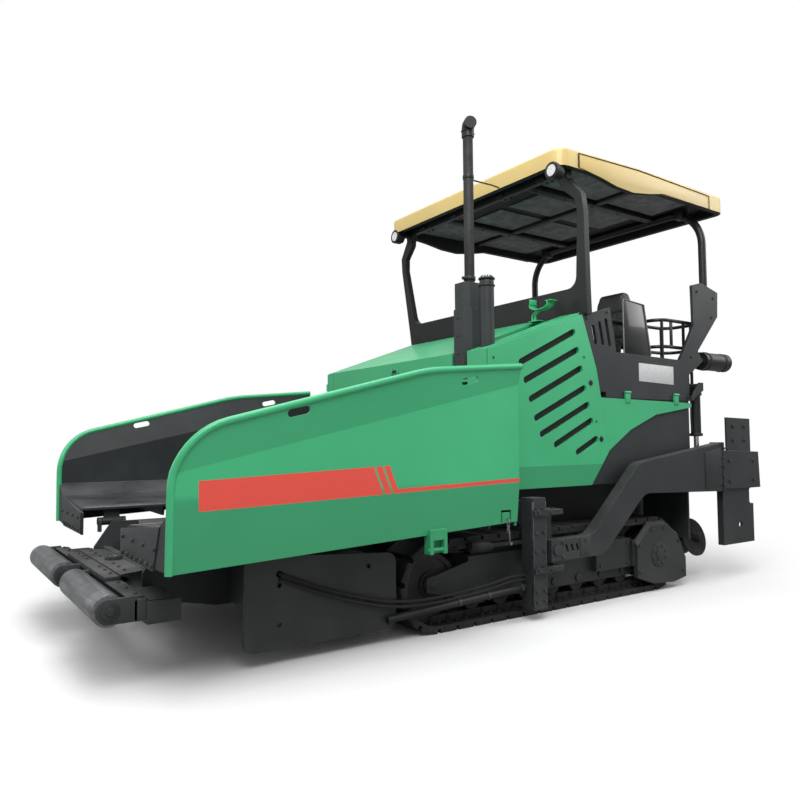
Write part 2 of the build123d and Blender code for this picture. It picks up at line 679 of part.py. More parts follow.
# ================================================================ exhaust and air intake
exhaust = (230, 890)
with BuildPart() as exhaust_pipe:
    with Locations((exhaust[0], exhaust[1], 2300)):
        Cylinder(42, 1640, align=(Align.CENTER, Align.CENTER, Align.MIN))
    with Locations(Location((exhaust[0], exhaust[1], 3940), (0, 35, 0))):
        Cylinder(46, 80)
write(exhaust_pipe, "exhaust_pipe")
with BuildPart() as exhaust_shield:
    with BuildSketch(level(1860 + seat_gap)):
        outline([(bulkhead_x - 10, 840), (bulkhead_x - 10, 960), (300, 1000), (120, 1000), (80, 960), (80, 840)])
    extrude(amount=580)
    with BuildSketch(level(2440)):
        outline([(340, 830), (340, 940), (290, 970), (150, 970), (110, 930), (110, 830)])
    extrude(amount=220)
    with Locations((exhaust[0], exhaust[1], 2290)):
        Cylinder(42 + seat_gap, 400, align=(Align.CENTER, Align.CENTER, Align.MIN), mode=Mode.SUBTRACT)
write(exhaust_shield, "exhaust_shield")
with BuildPart() as air_cleaner:
    with Locations((air_x, air_y, 2040)):
        Cylinder(air_radius, 590, align=(Align.CENTER, Align.CENTER, Align.MIN))
    with Locations((air_x, air_y, 2630)):
        Sphere(air_radius)
write(air_cleaner, "air_cleaner")

# ================================================================ rear housing, side boxes and fenders
with BuildPart() as rear_housing:
    block((frame_rear + 10, hood_rear[0] - seat_gap), (-730, 730), (tunnel_roof + seat_gap, 1742 - seat_gap))
write(rear_housing, "rear_housing")

with BuildPart() as side_box:
    with BuildSketch(side_plane(1240)):
        outline([(-918, 1742 - seat_gap)] + behind_door[2:] + [(-2240, hood_bottom), (-2240, 1742 - seat_gap)])
    extrude(amount=1240 - 730 - seat_gap)
write_both(side_box, "side_boxes")

with BuildPart() as fender:
    with BuildSketch(side_plane(1262)):
        outline([(-919, 1738), behind_door[2], behind_door[3], (-1320, 1460), (-1690, 1600), (-2250, 1680),
                 (-2250, 1720)])
    extrude(amount=22 - seat_gap)
write_both(fender, "fenders")

# ================================================================ platform, rails and seats
with BuildPart() as platform:
    block((platform_rear, platform_front), (-platform_y, platform_y), (1742, platform_z))
    block((platform_front, hood_rear[0] - seat_gap), (-platform_y + 60, platform_y - 60), (1742, platform_z))
    # lugs and pins of the screed lift cylinders
    for s in (-1, 1):
        for y in (lift_y - 62, lift_y + 62):
            with BuildSketch(side_plane(s * y + 6)):
                outline([(-2230, 1745), (-2230, 1785), (-2350, 1925), (lift_x - 40, 1925), (lift_x - 40, 1850)])
            extrude(amount=12)
        block((-2262, -2225), (s * (lift_y - 68), s * (lift_y + 68)), (1745, 1785))
        with Locations((lift_x, s * lift_y, lift_top_z)):
            Cylinder(18, 136, rotation=(90, 0, 0))
write(platform, "platform")
with BuildPart() as side_panel:
    with BuildSketch(side_plane(platform_y)):
        outline([(-699, 2470), (-830, 2470), (-1070, 2480), (-1110, 2130), (-2100, 2105), (-2180, 2230), (-2345, 2480),
                 (-2330, 2890), (-2480, 2900), (-2800, 2830), (-2800, 2570), (-2460, 2230), (-2500, 2120),
                 (-2250, 2000), (-2250, platform_z + seat_gap), (-908, platform_z + seat_gap), behind_door[1]])
    extrude(amount=30)
write_both(side_panel, "side_panels")

with BuildPart() as seat_base:
    with Locations((-1650, 880, platform_z + seat_gap)):
        Box(360, 380, 380, align=(Align.CENTER, Align.CENTER, Align.MIN))
write_both(seat_base, "seat_bases")
with BuildPart() as seat_cushion:
    with Locations((-1640, 880, platform_z + 381)):
        Box(480, 480, 110, align=(Align.CENTER, Align.CENTER, Align.MIN))
    fillet(seat_cushion.edges().filter_by(Axis.Z), 60)
write_both(seat_cushion, "seat_cushions")
with BuildPart() as seat_back:
    with BuildSketch(side_plane(880 + 230)):
        outline([(-1880 - seat_gap, platform_z + 400), (-1990, 2870), (-2100, 2870), (-1990, platform_z + 400)])
    extrude(amount=460)
write_both(seat_back, "seat_backs")
with BuildPart() as console:
    block((-1300, -1150), (-400, 400), (platform_z + seat_gap, 2380))
    with BuildSketch(side_plane(400)):
        outline([(-1150, 2380), (-1400, 2380), (-1400, 2420), (-1150, 2500)])
    extrude(amount=800)
write(console, "console")

# ================================================================ canopy
with BuildPart() as canopy:
    block((canopy_rear, canopy_front), (-canopy_y, canopy_y), (canopy_bottom, canopy_top))
    fillet(canopy.edges().filter_by(Axis.Z), 120)
    with BuildSketch(level(canopy_bottom)) as hollow:
        with Locations(((canopy_front + canopy_rear) / 2, 0)):
            RectangleRounded(canopy_front - canopy_rear - 120, 2 * canopy_y - 120, 80)
    extrude(amount=80, mode=Mode.SUBTRACT)
write(canopy, "canopy")
with BuildPart() as front_hoop:
    with BuildSketch(cross_plane(-800)) as hoop_face:
        outline([(-1310, 2470 + seat_gap), (1310, 2470 + seat_gap), (1200, hoop_top), (-1200, hoop_top)])
        fillet(hoop_face.vertices().group_by(Axis.Y)[-1], 90)
    with BuildSketch(cross_plane(-800)) as hoop_hole:
        outline([(-1200, 2640), (1200, 2640), (1105, hoop_top - 90), (-1105, hoop_top - 90)])
        fillet(hoop_hole.vertices(), 90)
    extrude(hoop_face.sketch, amount=60)
    extrude(hoop_hole.sketch, amount=60, mode=Mode.SUBTRACT)
write(front_hoop, "canopy_front_frame")
hoop_y = platform_y - 30 - hoop_tube - seat_gap
with BuildPart() as rear_hoop:
    with BuildLine(Plane.YZ.offset(-2640)) as hoop_line:
        FilletPolyline((-hoop_y, 2450), (-hoop_y, hoop_top - hoop_tube), (hoop_y, hoop_top - hoop_tube),
                       (hoop_y, 2450), radius=380)
    with BuildSketch(Plane(origin=(-2640, -hoop_y, 2450), z_dir=(0, 0, 1))):
        Circle(hoop_tube)
    sweep(path=hoop_line.line)
write(rear_hoop, "canopy_rear_hoop")
with BuildPart() as canopy_lamp:
    with Locations((-500, 1165, 3640)):
        Cylinder(60, 90, rotation=(0, 90, 0))
    block((-545, -515), (1150, 1180), (3690, hoop_top))
write_both(canopy_lamp, "canopy_lamps")
with BuildPart() as work_light:
    with Locations((-2780, 1165, 2160)):
        Cylinder(90, 420, rotation=(0, 90, 0))
    block((-2600, -2420), (1185, platform_y - 30 - seat_gap), (2140, 2180))
write_both(work_light, "work_lights")

# ================================================================ augers
with BuildPart() as auger:
    with Locations((auger_x, (auger_y[0] + auger_y[1]) / 2, auger_z)):
        Cylinder(45, auger_y[1] - auger_y[0], rotation=(90, 0, 0))
    turns = 7
    for i in range(turns):
        y = auger_y[0] + 90 + i * (auger_y[1] - auger_y[0] - 180) / (turns - 1)
        with Locations(Location((auger_x, y, auger_z), (90 + 16, 0, 0))):
            Cylinder(auger_radius, 14)
write_pair(auger, "auger")
with BuildPart() as auger_carrier:
    carrier_half = auger_y[0] - seat_gap
    block((auger_x - 70, frame_rear - seat_gap), (-carrier_half, carrier_half), (auger_z - 80, 900))
    block((frame_rear - 60, frame_rear - seat_gap), (-690, 690), (880, 960))
write(auger_carrier, "auger_carrier")
with BuildPart() as rear_wing_plate:
    block((-2200, -2180), (730 + seat_gap, 1240), (420, hood_bottom - seat_gap))
write_both(rear_wing_plate, "auger_plates")

# ================================================================ cable tubes and rear ladder
tube_start = (1320, side_frame_y + 14 + seat_gap, 172)
tube_end = (70, guide_y[0] - 14 - seat_gap, 232)
with BuildPart() as cable_tube:
    with BuildLine():
        tube_line = Line(tube_start, tube_end)
    with BuildSketch(Plane(origin=tube_start, z_dir=Vector(*tube_end) - Vector(*tube_start))):
        Circle(14)
        Circle(11, mode=Mode.SUBTRACT)
    sweep(path=tube_line)
write_both(cable_tube, "cable_tubes")
with BuildPart() as ladder:
    for y in (-230, 218):
        block((-2300, frame_rear + 10 - seat_gap), (y, y + 12), (985, 1741))
    for i in range(3):
        z = 1020 + i * 250
        block((-2320, -2262), (-225, 225), (z, z + 24))
write(ladder, "ladder")
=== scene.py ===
"""Dresses the asphalt paver: paint and steel finishes, fittings, seats, lamps, cables and the studio."""
import math

import bmesh
import bpy
from mathutils import Matrix, Vector


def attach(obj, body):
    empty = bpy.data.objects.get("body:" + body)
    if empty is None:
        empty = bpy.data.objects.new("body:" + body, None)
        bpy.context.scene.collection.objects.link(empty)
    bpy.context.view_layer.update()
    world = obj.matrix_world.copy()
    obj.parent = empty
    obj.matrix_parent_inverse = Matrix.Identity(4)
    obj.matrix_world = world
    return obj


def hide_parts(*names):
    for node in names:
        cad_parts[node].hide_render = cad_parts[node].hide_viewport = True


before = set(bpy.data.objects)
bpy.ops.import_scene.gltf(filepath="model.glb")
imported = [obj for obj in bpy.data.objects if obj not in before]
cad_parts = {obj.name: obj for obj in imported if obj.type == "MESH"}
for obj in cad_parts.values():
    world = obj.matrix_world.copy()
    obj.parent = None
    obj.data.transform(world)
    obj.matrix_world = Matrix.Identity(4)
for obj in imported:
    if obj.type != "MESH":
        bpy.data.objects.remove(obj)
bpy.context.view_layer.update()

bl_info = {
    "name": "Asphalt paver",
    "version": (1, 0, 0),
    "blender": (4, 5, 0),
    "location": "View3D > Sidebar > Paver",
    "description": "Finishes, fittings and studio for a tracked asphalt paver",
    "category": "Object",
}

SIDES = (("left", 1), ("right", -1))

# ---------------------------------------------------------------- measures shared by the fittings
WING_SHEET = (((1.610, 0.600), (1.640, 1.000), (1.632, 1.210), (1.800, 1.900)),
              ((1.610, 0.600), (1.640, 1.075), (1.611, 1.775), (1.667, 2.000)))
WING_X = (2.890, 0.392)
WING_SIDE = ((2.890, 0.690, 0), (2.890, 1.417, 0.38), (1.250, 1.830, 1.5), (0.392, 1.905, 0),
             (0.440, 0.800, 0))
WING_CREASE = 1.075
CLEVIS_X = (1.090, 1.230)
CLEVIS_TOP = 0.800
STRIPE_FRONT = 2.745
STRIPE_LOW = (0.0299, 1.010)
STRIPE_HIGH = (0.0415, 1.172)
STRIPE_LEAN = 0.386
STRIPE_END = 1.476
STRIPE_GAPS = ((1.519, 1.533), (1.582, 1.597))
STRIPE_LINE = 0.027
FLOOR_TOP = ((0.700, 0.862), (1.430, 0.921))
HOOD_SIDE = 1.275
PANEL_SIDE = 1.250
PLATFORM_TOP = 1.790
DOOR_CREASE = 1.165
CANOPY_MIDDLE = -1.684
CANOPY_INNER_Y = 1.245
CANOPY_SKIRT = 3.705
CANOPY_CROWN = ((-0.444, 3.861), (-1.500, 3.890), (-2.924, 3.870))
TRACK_Y = 1.080
TRACK_X = (-1.640, 0.850)
TRACK_RADIUS = 0.330
SHOE_COUNT = 41
LINK_RADIUS = 0.253
GUIDE_FACE = 1.420
CANOPY_LINING = 3.784
LAMP = (-0.455, 1.185, 3.670)
WORK_LIGHT = (-2.990, 1.165, 2.160)
PUSH_AXIS = (3.080, 0.455)
EXHAUST = (0.230, 0.890)


# ---------------------------------------------------------------- properties
def tint(name, description, default):
    """A colour property."""
    return bpy.props.FloatVectorProperty(name=name, description=description, default=default,
                                         subtype="COLOR", size=3, min=0, max=1)


class PaverColours(bpy.types.PropertyGroup):
    """Paint and trim colours."""

    body: tint("Body", "Paint of hood, doors, fenders and wings", (0.052, 0.460, 0.200))
    roof: tint("Roof", "Paint of the canopy", (0.70, 0.53, 0.20))
    chassis: tint("Chassis", "Paint of frame, arms and platform", (0.024, 0.029, 0.031))
    trim: tint("Trim", "Paint of posts, rails and lamp housings", (0.010, 0.012, 0.012))
    stripe: tint("Stripe", "Stripe along the hopper wings", (0.80, 0.085, 0.06))


# ---------------------------------------------------------------- shader maths
class Socket:
    """A node's output that takes part in expressions."""

    def __init__(self, graph, output):
        self.graph = graph
        self.output = output

    def _math(self, operation, other=None, swap=False):
        pair = (self, other) if not swap else (other, self)
        values = {i: v for i, v in enumerate(pair) if v is not None}
        return self.graph.node("ShaderNodeMath", {"operation": operation}, values)

    def __add__(self, other):
        return self._math("ADD", other)

    __radd__ = __add__

    def __sub__(self, other):
        return self._math("SUBTRACT", other)

    def __rsub__(self, other):
        return self._math("SUBTRACT", other, swap=True)

    def __mul__(self, other):
        return self._math("MULTIPLY", other)

    __rmul__ = __mul__

    def __gt__(self, other):
        return self._math("GREATER_THAN", other)

    def __lt__(self, other):
        return self._math("LESS_THAN", other)

    def __pow__(self, other):
        return self._math("POWER", other)

    def absolute(self):
        return self._math("ABSOLUTE")

    def sign(self):
        return self._math("SIGN")

    def zigzag(self):
        """Up and down between 0 and 1."""
        return self._math("PINGPONG", 1.0)

    def limited(self):
        return self.graph.node("ShaderNodeClamp", {}, {0: self})

    def ramp(self, low, high):
        """0 below low, 1 above high, smooth between."""
        settings = {"interpolation_type": "SMOOTHSTEP"}
        return self.graph.node("ShaderNodeMapRange", settings, {0: self, 1: low, 2: high})


class Graph:
    """The nodes of one material, or of a world, and the means to add to them."""

    def __init__(self, name, world=None):
        self.owner = world or bpy.data.materials.new(name)
        self.owner.use_nodes = True
        self.tree = self.owner.node_tree
        self.shader = self.tree.nodes["Background" if world else "Principled BSDF"]
        self.spots = {}

    def node(self, kind, settings=None, values=None, out=0):
        """Add a node: its settings first, then its sockets' values or links."""
        made = self.tree.nodes.new(kind)
        for key, value in (settings or {}).items():
            setattr(made, key, value)
        for key, value in (values or {}).items():
            if isinstance(value, Socket):
                self.tree.links.new(value.output, made.inputs[key])
            else:
                made.inputs[key].default_value = value
        return Socket(self, made.outputs[out])

    def place(self):
        """Object coordinates."""
        if "place" not in self.spots:
            self.spots["place"] = self.node("ShaderNodeTexCoord", out="Object")
        return self.spots["place"]

    def axes(self):
        """X, Y and Z of the object coordinates."""
        if "axes" not in self.spots:
            x = self.node("ShaderNodeSeparateXYZ", {}, {0: self.place()})
            split = x.output.node
            self.spots["axes"] = tuple(Socket(self, o) for o in split.outputs)
        return self.spots["axes"]

    def facing(self):
        """X, Y and Z of the true surface normal."""
        if "facing" not in self.spots:
            normal = self.node("ShaderNodeNewGeometry", out="True Normal")
            split = self.node("ShaderNodeSeparateXYZ", {}, {0: normal}).output.node
            self.spots["facing"] = tuple(Socket(self, o) for o in split.outputs)
        return self.spots["facing"]

    def noise(self, scale, detail=4.0, rough=0.55):
        return self.node("ShaderNodeTexNoise", {},
                         {"Vector": self.place(), "Scale": scale, "Detail": detail, "Roughness": rough})

    def mix(self, factor, first, second):
        """Colour between first and second."""
        return self.node("ShaderNodeMix", {"data_type": "RGBA"},
                         {0: factor, 6: colour(first), 7: colour(second)}, out=2)

    def rounded(self, radius):
        """Normal with softened edges."""
        return self.node("ShaderNodeBevel", {"samples": 4}, {"Radius": radius})

    def edges(self, radius):
        """1 on outer edges within a radius, 0 elsewhere."""
        soft = self.rounded(radius)
        true = self.node("ShaderNodeNewGeometry", out="Normal")
        same = self.node("ShaderNodeVectorMath", {"operation": "DOT_PRODUCT"}, {0: soft, 1: true}, out=1)
        return (1 - same).ramp(0.02, 0.25)

    def bump(self, height, distance, strength=0.4, normal=None):
        values = {"Height": height, "Distance": distance, "Strength": strength}
        if normal is not None:
            values["Normal"] = normal
        return self.node("ShaderNodeBump", {}, values)

    def set(self, **values):
        """Set the shader's sockets, with underscores for spaces."""
        for key, value in values.items():
            name = key.replace("_", " ")
            if isinstance(value, Socket):
                self.tree.links.new(value.output, self.shader.inputs[name])
            else:
                self.shader.inputs[name].default_value = value
        return self.owner


def colour(value):
    """A colour with its alpha, or a socket as it is."""
    if isinstance(value, Socket):
        return value
    return (*value, 1.0) if len(value) == 3 else value


def shade(base, factor):
    """A colour made lighter or darker."""
    return tuple(min(1.0, c * factor) for c in base[:3])


# ---------------------------------------------------------------- finishes
DUST = (0.30, 0.28, 0.25)
BARE_STEEL = (0.34, 0.34, 0.33)


def paint(name, base, rough=0.34, coat=0.15, dust=0.10, wear=0.3, edge=0.004, low=None):
    """Sprayed machine paint: faint clouding, dust on level faces, rubbed edges, painted shade below a crease.
    """
    g = Graph(name)
    clouds = g.noise(0.9, 3.0)
    grain = g.noise(55.0, 3.0)
    up = g.facing()[2]
    tone = g.mix(clouds.ramp(0.35, 0.7), shade(base, 0.93), shade(base, 1.07))
    chips = (g.edges(edge) * g.noise(14.0, 5.0).ramp(0.52, 0.66)) * wear
    settled = (up.ramp(0.55, 0.95) * g.noise(3.2, 6.0).ramp(0.3, 0.75) + grain.ramp(0.62, 0.8) * 0.25) * dust
    dusty = g.mix(settled.limited(), tone, DUST)
    if low is not None:
        # painted shade: below the crease height low the paint is darkened towards half its colour
        dusty = g.mix((g.axes()[2] < low) * 0.55, dusty, shade(base, 0.5))
    colour_out = g.mix(chips.limited(), dusty, shade(base, 0.45))
    roughness = grain * 0.08 + (rough - 0.04) + settled * 0.8 + chips * 0.3
    normal = g.bump(g.noise(230.0, 2.0), 0.0004, 0.25, g.rounded(edge))
    return g.set(Base_Color=colour_out, Roughness=roughness.limited(), Coat_Weight=coat,
                 Coat_Roughness=0.12, Normal=normal)


def canopy_paint(base):
    """Cream paint outside, black lining below and inside the hollow roof."""
    g = Graph("cream_paint")
    x, y, _ = g.axes()
    nx, ny, nz = g.facing()
    across = ny * y.sign()
    along = nx * (x - CANOPY_MIDDLE).sign()
    inside = ((nz < -0.5) + (across < -0.5) * (y.absolute() < CANOPY_INNER_Y) + (along < -0.5)).limited()
    clouds = g.noise(0.8, 3.0)
    tone = g.mix(clouds.ramp(0.35, 0.7), shade(base, 0.95), shade(base, 1.05))
    dusty = g.mix((nz.ramp(0.5, 0.95) * g.noise(3.0, 6.0).ramp(0.3, 0.75) * 0.2).limited(), tone, DUST)
    colour_out = g.mix(inside, dusty, (0.010, 0.011, 0.012))
    grain = g.noise(60.0, 3.0)
    return g.set(Base_Color=colour_out, Roughness=(grain * 0.08 + 0.36 + inside * 0.25).limited(),
                 Coat_Weight=0.2 - inside * 0.2, Coat_Roughness=0.12,
                 Normal=g.bump(g.noise(230.0, 2.0), 0.0004, 0.25, g.rounded(0.004)))


def chassis_paint(name, base, rough=0.5, dust=0.35, wear=0.6, edge=0.004):
    """Satin paint on plate work, with road dust and bare steel at the edges."""
    g = Graph(name)
    clouds = g.noise(1.7, 5.0)
    grain = g.noise(38.0, 4.0)
    up = g.facing()[2]
    z = g.axes()[2]
    low = 1 - z.ramp(0.15, 1.0)
    tone = g.mix(clouds.ramp(0.3, 0.75), shade(base, 0.8), shade(base, 1.25))
    settled = up.ramp(0.5, 0.95) * 0.7 + low * 0.35 + grain.ramp(0.5, 0.8) * 0.2
    settled = settled * clouds.ramp(0.25, 0.7) * dust
    worn = g.edges(edge) * g.noise(22.0, 5.0).ramp(0.45, 0.62) * wear
    dusty = g.mix(settled.limited(), tone, shade(DUST, 0.55))
    colour_out = g.mix(worn.limited(), dusty, BARE_STEEL)
    roughness = grain * 0.16 + (rough - 0.08) + settled * 0.35 - worn * 0.12
    normal = g.bump(grain, 0.0008, 0.3, g.rounded(edge))
    return g.set(Base_Color=colour_out, Roughness=roughness.limited(), Metallic=(worn * 0.8).limited(),
                 Normal=normal)


def steel(name, base, rough=0.45, metallic=0.9, grime=0.5, edge=0.003, streak=None):
    """Bare or oiled steel with grime in patches."""
    g = Graph(name)
    patches = g.noise(5.0, 6.0).ramp(0.35, 0.7)
    grain = g.noise(90.0, 4.0)
    if streak:
        turned = g.node("ShaderNodeMapping", {}, {"Vector": g.place(), "Scale": streak})
        grain = g.node("ShaderNodeTexNoise", {}, {"Vector": turned, "Scale": 40.0, "Detail": 5.0})
    tone = g.mix(grain.ramp(0.3, 0.7), shade(base, 0.75), shade(base, 1.2))
    colour_out = g.mix((patches * grime).limited(), tone, shade(base, 0.3))
    roughness = patches * 0.2 * grime + grain * 0.2 + (rough - 0.1)
    normal = g.bump(grain, 0.0006, 0.35, g.rounded(edge))
    return g.set(Base_Color=colour_out, Roughness=roughness.limited(), Metallic=metallic, Normal=normal)


def plain(name, base, rough=0.5, metallic=0.0, grain_scale=120.0, depth=0.0004, vary=0.15, **more):
    """Moulded or coated stuff with a fine grain."""
    g = Graph(name)
    grain = g.noise(grain_scale, 3.0)
    tone = g.mix(grain.ramp(0.3, 0.7), shade(base, 1 - vary), shade(base, 1 + vary))
    roughness = grain * 0.12 + (rough - 0.06)
    return g.set(Base_Color=tone, Roughness=roughness.limited(), Metallic=metallic,
                 Normal=g.bump(grain, depth, 0.35), **more)


def make_materials(colours):
    """Every finish of the machine, by name."""
    body = tuple(colours.body)
    chassis = tuple(colours.chassis)
    return {
        "green": paint("green_paint", body),
        # the door paint carries painted shade below DOOR_CREASE
        "door": paint("door_paint_with_painted_shade", body, low=DOOR_CREASE),
        "cream": canopy_paint(tuple(colours.roof)),
        "grey": chassis_paint("dark_grey_paint", chassis),
        "black": chassis_paint("black_paint", tuple(colours.trim), rough=0.42, dust=0.15, wear=0.3),
        "liner": hopper_liner(body, chassis, tuple(colours.stripe)),
        "cast": steel("dark_steel", (0.055, 0.056, 0.058), rough=0.6, metallic=0.6),
        "worn": steel("worn_steel", (0.24, 0.25, 0.26), rough=0.38, grime=0.4, streak=(1.0, 0.05, 1.0)),
        "chrome": steel("rod_chrome", (0.72, 0.73, 0.74), rough=0.14, metallic=1.0, grime=0.1),
        "bolt": steel("dark_bolt", (0.085, 0.09, 0.095), rough=0.45, metallic=0.6, grime=0.5),
        "rubber": plain("black_rubber", (0.018, 0.018, 0.019), rough=0.75, depth=0.0008),
        "vinyl": vinyl(),
        "piping": plain("seat_piping", (0.20, 0.21, 0.21), rough=0.5),
        "tinted": plain("tinted_panel", (0.010, 0.011, 0.012), rough=0.22, Coat_Weight=0.5),
        "lens": plain("lamp_lens", (0.75, 0.77, 0.78), rough=0.12, Coat_Weight=0.8),
        "plate": plain("blank_plate", (0.62, 0.64, 0.64), rough=0.4),
        "mesh": plain("dark_mesh", (0.008, 0.010, 0.009), rough=0.8),
        "tread": tread_plate(chassis),
        "panel": plain("roof_lining", (0.16, 0.17, 0.175), rough=0.6, vary=0.3, grain_scale=9.0),
    }


def vinyl():
    """Black seat covering with a leather grain."""
    g = Graph("seat_vinyl")
    cells = g.node("ShaderNodeTexVoronoi", {}, {"Vector": g.place(), "Scale": 420.0})
    folds = g.noise(7.0, 3.0)
    tone = g.mix(folds.ramp(0.35, 0.7), (0.012, 0.013, 0.013), (0.028, 0.029, 0.030))
    normal = g.bump(cells + folds * 2.0, 0.0006, 0.35)
    return g.set(Base_Color=tone, Roughness=folds * 0.15 + 0.42, Normal=normal)


def tread_plate(base):
    """Chequer plate with raised bars in two directions."""
    g = Graph("tread_plate")
    x, y, _ = g.axes()
    bars = 0
    for turn in (1, -1):
        across = (x + y * turn) * 28.0
        along = (x - y * turn) * 28.0
        run = along if turn > 0 else along + 1.0
        bars = bars + (across.zigzag() > 0.86) * run.zigzag().ramp(0.45, 0.60)
    tone = g.mix((bars * 0.6).limited(), shade(base, 0.8), BARE_STEEL)
    return g.set(Base_Color=tone, Roughness=0.62 - bars * 0.2, Normal=g.bump(bars, 0.002, 0.6))


def hopper_liner(body, chassis, stripe):
    """Wing plate: body paint with its stripe and painted shade below the crease outside, scuffed dark plate
    inside.
    """
    g = Graph("wing_plate")
    x, y, z = g.axes()
    nx, ny, nz = g.facing()
    outward = ny * y.sign()
    far = y.absolute()
    clevis = (z < CLEVIS_TOP + 0.002) * (x > CLEVIS_X[0] - 0.005) * (x < CLEVIS_X[1] + 0.005) * (far > 1.55)
    outside = ((outward > -0.3) * (far > 1.598) + clevis).limited()
    clouds = g.noise(0.9, 3.0)
    grain = g.noise(45.0, 4.0)
    scuffs = g.noise(2.2, 6.0, 0.6)
    green = g.mix(clouds.ramp(0.35, 0.7), shade(body, 0.95), shade(body, 1.05))
    # painted shade: the body paint is darkened below the wing crease
    green = g.mix((1 - z.ramp(WING_CREASE - 0.02, WING_CREASE + 0.03)) * 0.55, green, shade(body, 0.5))
    # the stripe tapers back from the nose, broken by two slanted gaps, with a thin line behind it
    back = STRIPE_FRONT - x
    low, high = (back * slope + nose for slope, nose in (STRIPE_LOW, STRIPE_HIGH))
    slant = x - (z - 1.078) * STRIPE_LEAN
    gaps = [(slant > start) * (slant < end) for start, end in STRIPE_GAPS]
    broken = (gaps[0] + gaps[1]).limited()
    band = (z > low) * (z < high) * (slant > STRIPE_END) * (1 - broken)
    line = (z > low) * (z < low + STRIPE_LINE) * (slant < STRIPE_END + 0.004)
    marked = (band + line).limited() * (back > 0.0) * (outward > 0.5)
    film = g.mix(marked, green, stripe)
    dark = g.mix(scuffs.ramp(0.35, 0.7), shade(chassis, 0.55), shade(chassis, 1.0))
    level = nz.ramp(0.6, 0.95)
    dusty = g.mix((level * scuffs.ramp(0.3, 0.65) * 0.35).limited(), dark, (0.13, 0.13, 0.135))
    colour_out = g.mix(outside, dusty, film)
    roughness = 0.5 - outside * 0.16 - level * 0.1 + grain * 0.1
    normal = g.bump(grain, 0.0005, 0.2, g.rounded(0.005))
    return g.set(Base_Color=colour_out, Roughness=roughness.limited(), Coat_Weight=outside * 0.15,
                 Coat_Roughness=0.12, Normal=normal)


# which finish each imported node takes
NODE_FINISH = {
    "green": ("hood", "hood_lid", "fenders"),
    "door": ("side_door_left", "side_door_right"),
    "liner": ("wing_left", "wing_right"),
    "cream": ("canopy",),
    "grey": ("main_frame", "side_frames", "track_frames", "drive_guards", "tow_guides", "rear_housing",
             "side_boxes", "platform", "side_panels", "console", "auger_carrier", "auger_plates", "ladder",
             "tow_slider_left", "tow_slider_right", "tow_arm_left", "tow_arm_right", "arm_bracket_left",
             "arm_bracket_right", "push_beam", "exhaust_shield", "air_cleaner"),
    "black": ("canopy_front_frame", "canopy_rear_hoop", "canopy_lamps", "work_lights", "seat_bases",
              "cable_tubes", "lift_barrel_left", "lift_barrel_right", "wing_barrel_left",
              "wing_barrel_right"),
    "cast": ("conveyors", "conveyor_shafts", "auger_left", "auger_right", "track_wheels", "engine_block",
             "track_left", "track_right", "exhaust_pipe"),
    "worn": ("push_roller_left", "push_roller_right"),
    "chrome": ("lift_rod_left", "lift_rod_right", "wing_rod_left", "wing_rod_right"),
    "vinyl": ("seat_cushions", "seat_backs"),
}
FINISH = {}


# ---------------------------------------------------------------- mesh tools
def finish_piece(name, bm, body, finish, angle=35.0):
    """Turn a bmesh into a finished piece that rides on a body."""
    bmesh.ops.recalc_face_normals(bm, faces=bm.faces)
    mesh = bpy.data.meshes.new(name)
    bm.to_mesh(mesh)
    bm.free()
    mesh.shade_smooth()
    mesh.set_sharp_from_angle(angle=math.radians(angle))
    mesh.materials.append(FINISH[finish])
    obj = bpy.data.objects.new(name, mesh)
    bpy.context.collection.objects.link(obj)
    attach(obj, body)
    return obj


def soften(bm, edges, radius, segments=2):
    """Bevel edges."""
    bmesh.ops.bevel(bm, geom=edges, offset=radius, segments=segments, profile=0.5,
                    affect="EDGES", material=-1, clamp_overlap=True)


def add_box(bm, low, high, bevel=0.0):
    """Add a box between two corners."""
    low, high = Vector(low), Vector(high)
    size = Matrix.Diagonal((high - low).to_4d())
    size[3][3] = 1.0
    place = Matrix.Translation((low + high) / 2) @ size
    made = bmesh.ops.create_cube(bm, size=1.0, matrix=place)
    if bevel:
        soften(bm, list({e for v in made["verts"] for e in v.link_edges}), bevel)


def turn_to(axis):
    """Rotation that takes +Z to an axis."""
    return Vector(axis).to_track_quat("Z", "Y").to_matrix().to_4x4()


def add_rod(bm, start, end, radius, sides=24, end_radius=None, bevel=0.0):
    """Add a round bar or cone between two points."""
    start, end = Vector(start), Vector(end)
    run = end - start
    place = Matrix.Translation((start + end) / 2) @ turn_to(run)
    made = bmesh.ops.create_cone(bm, cap_ends=True, segments=sides, radius1=radius,
                                 radius2=radius if end_radius is None else end_radius,
                                 depth=run.length, matrix=place)
    if bevel:
        faces = {f for v in made["verts"] for f in v.link_faces if len(f.verts) == sides}
        soften(bm, list({e for f in faces for e in f.edges}), bevel)


def add_plate(bm, outline, axis, low, high, bevel=0.0, segments=2):
    """Add a plate: an outline in the plane across an axis, from low to high along it."""
    places = {"x": lambda a, b: (low, a, b), "y": lambda a, b: (a, low, b), "z": lambda a, b: (a, b, low)}
    verts = [bm.verts.new(places[axis](a, b)) for a, b in outline]
    face = bm.faces.new(verts)
    step = {"x": (1, 0, 0), "y": (0, 1, 0), "z": (0, 0, 1)}[axis]
    tops = thicken(bm, [face], Vector(step) * (high - low))
    if bevel:
        soften(bm, list({e for v in verts + tops for e in v.link_edges}), bevel, segments)


def add_bolt(bm, at, axis, across):
    """Add a hexagon head, with its washer, standing on a face."""
    at, axis = Vector(at), Vector(axis).normalized()
    tall = across * 0.42
    base = at + axis * across * 0.12
    add_rod(bm, at, base, across * 0.72, 16)
    add_rod(bm, base, base + axis * tall, across * 0.577, 6)


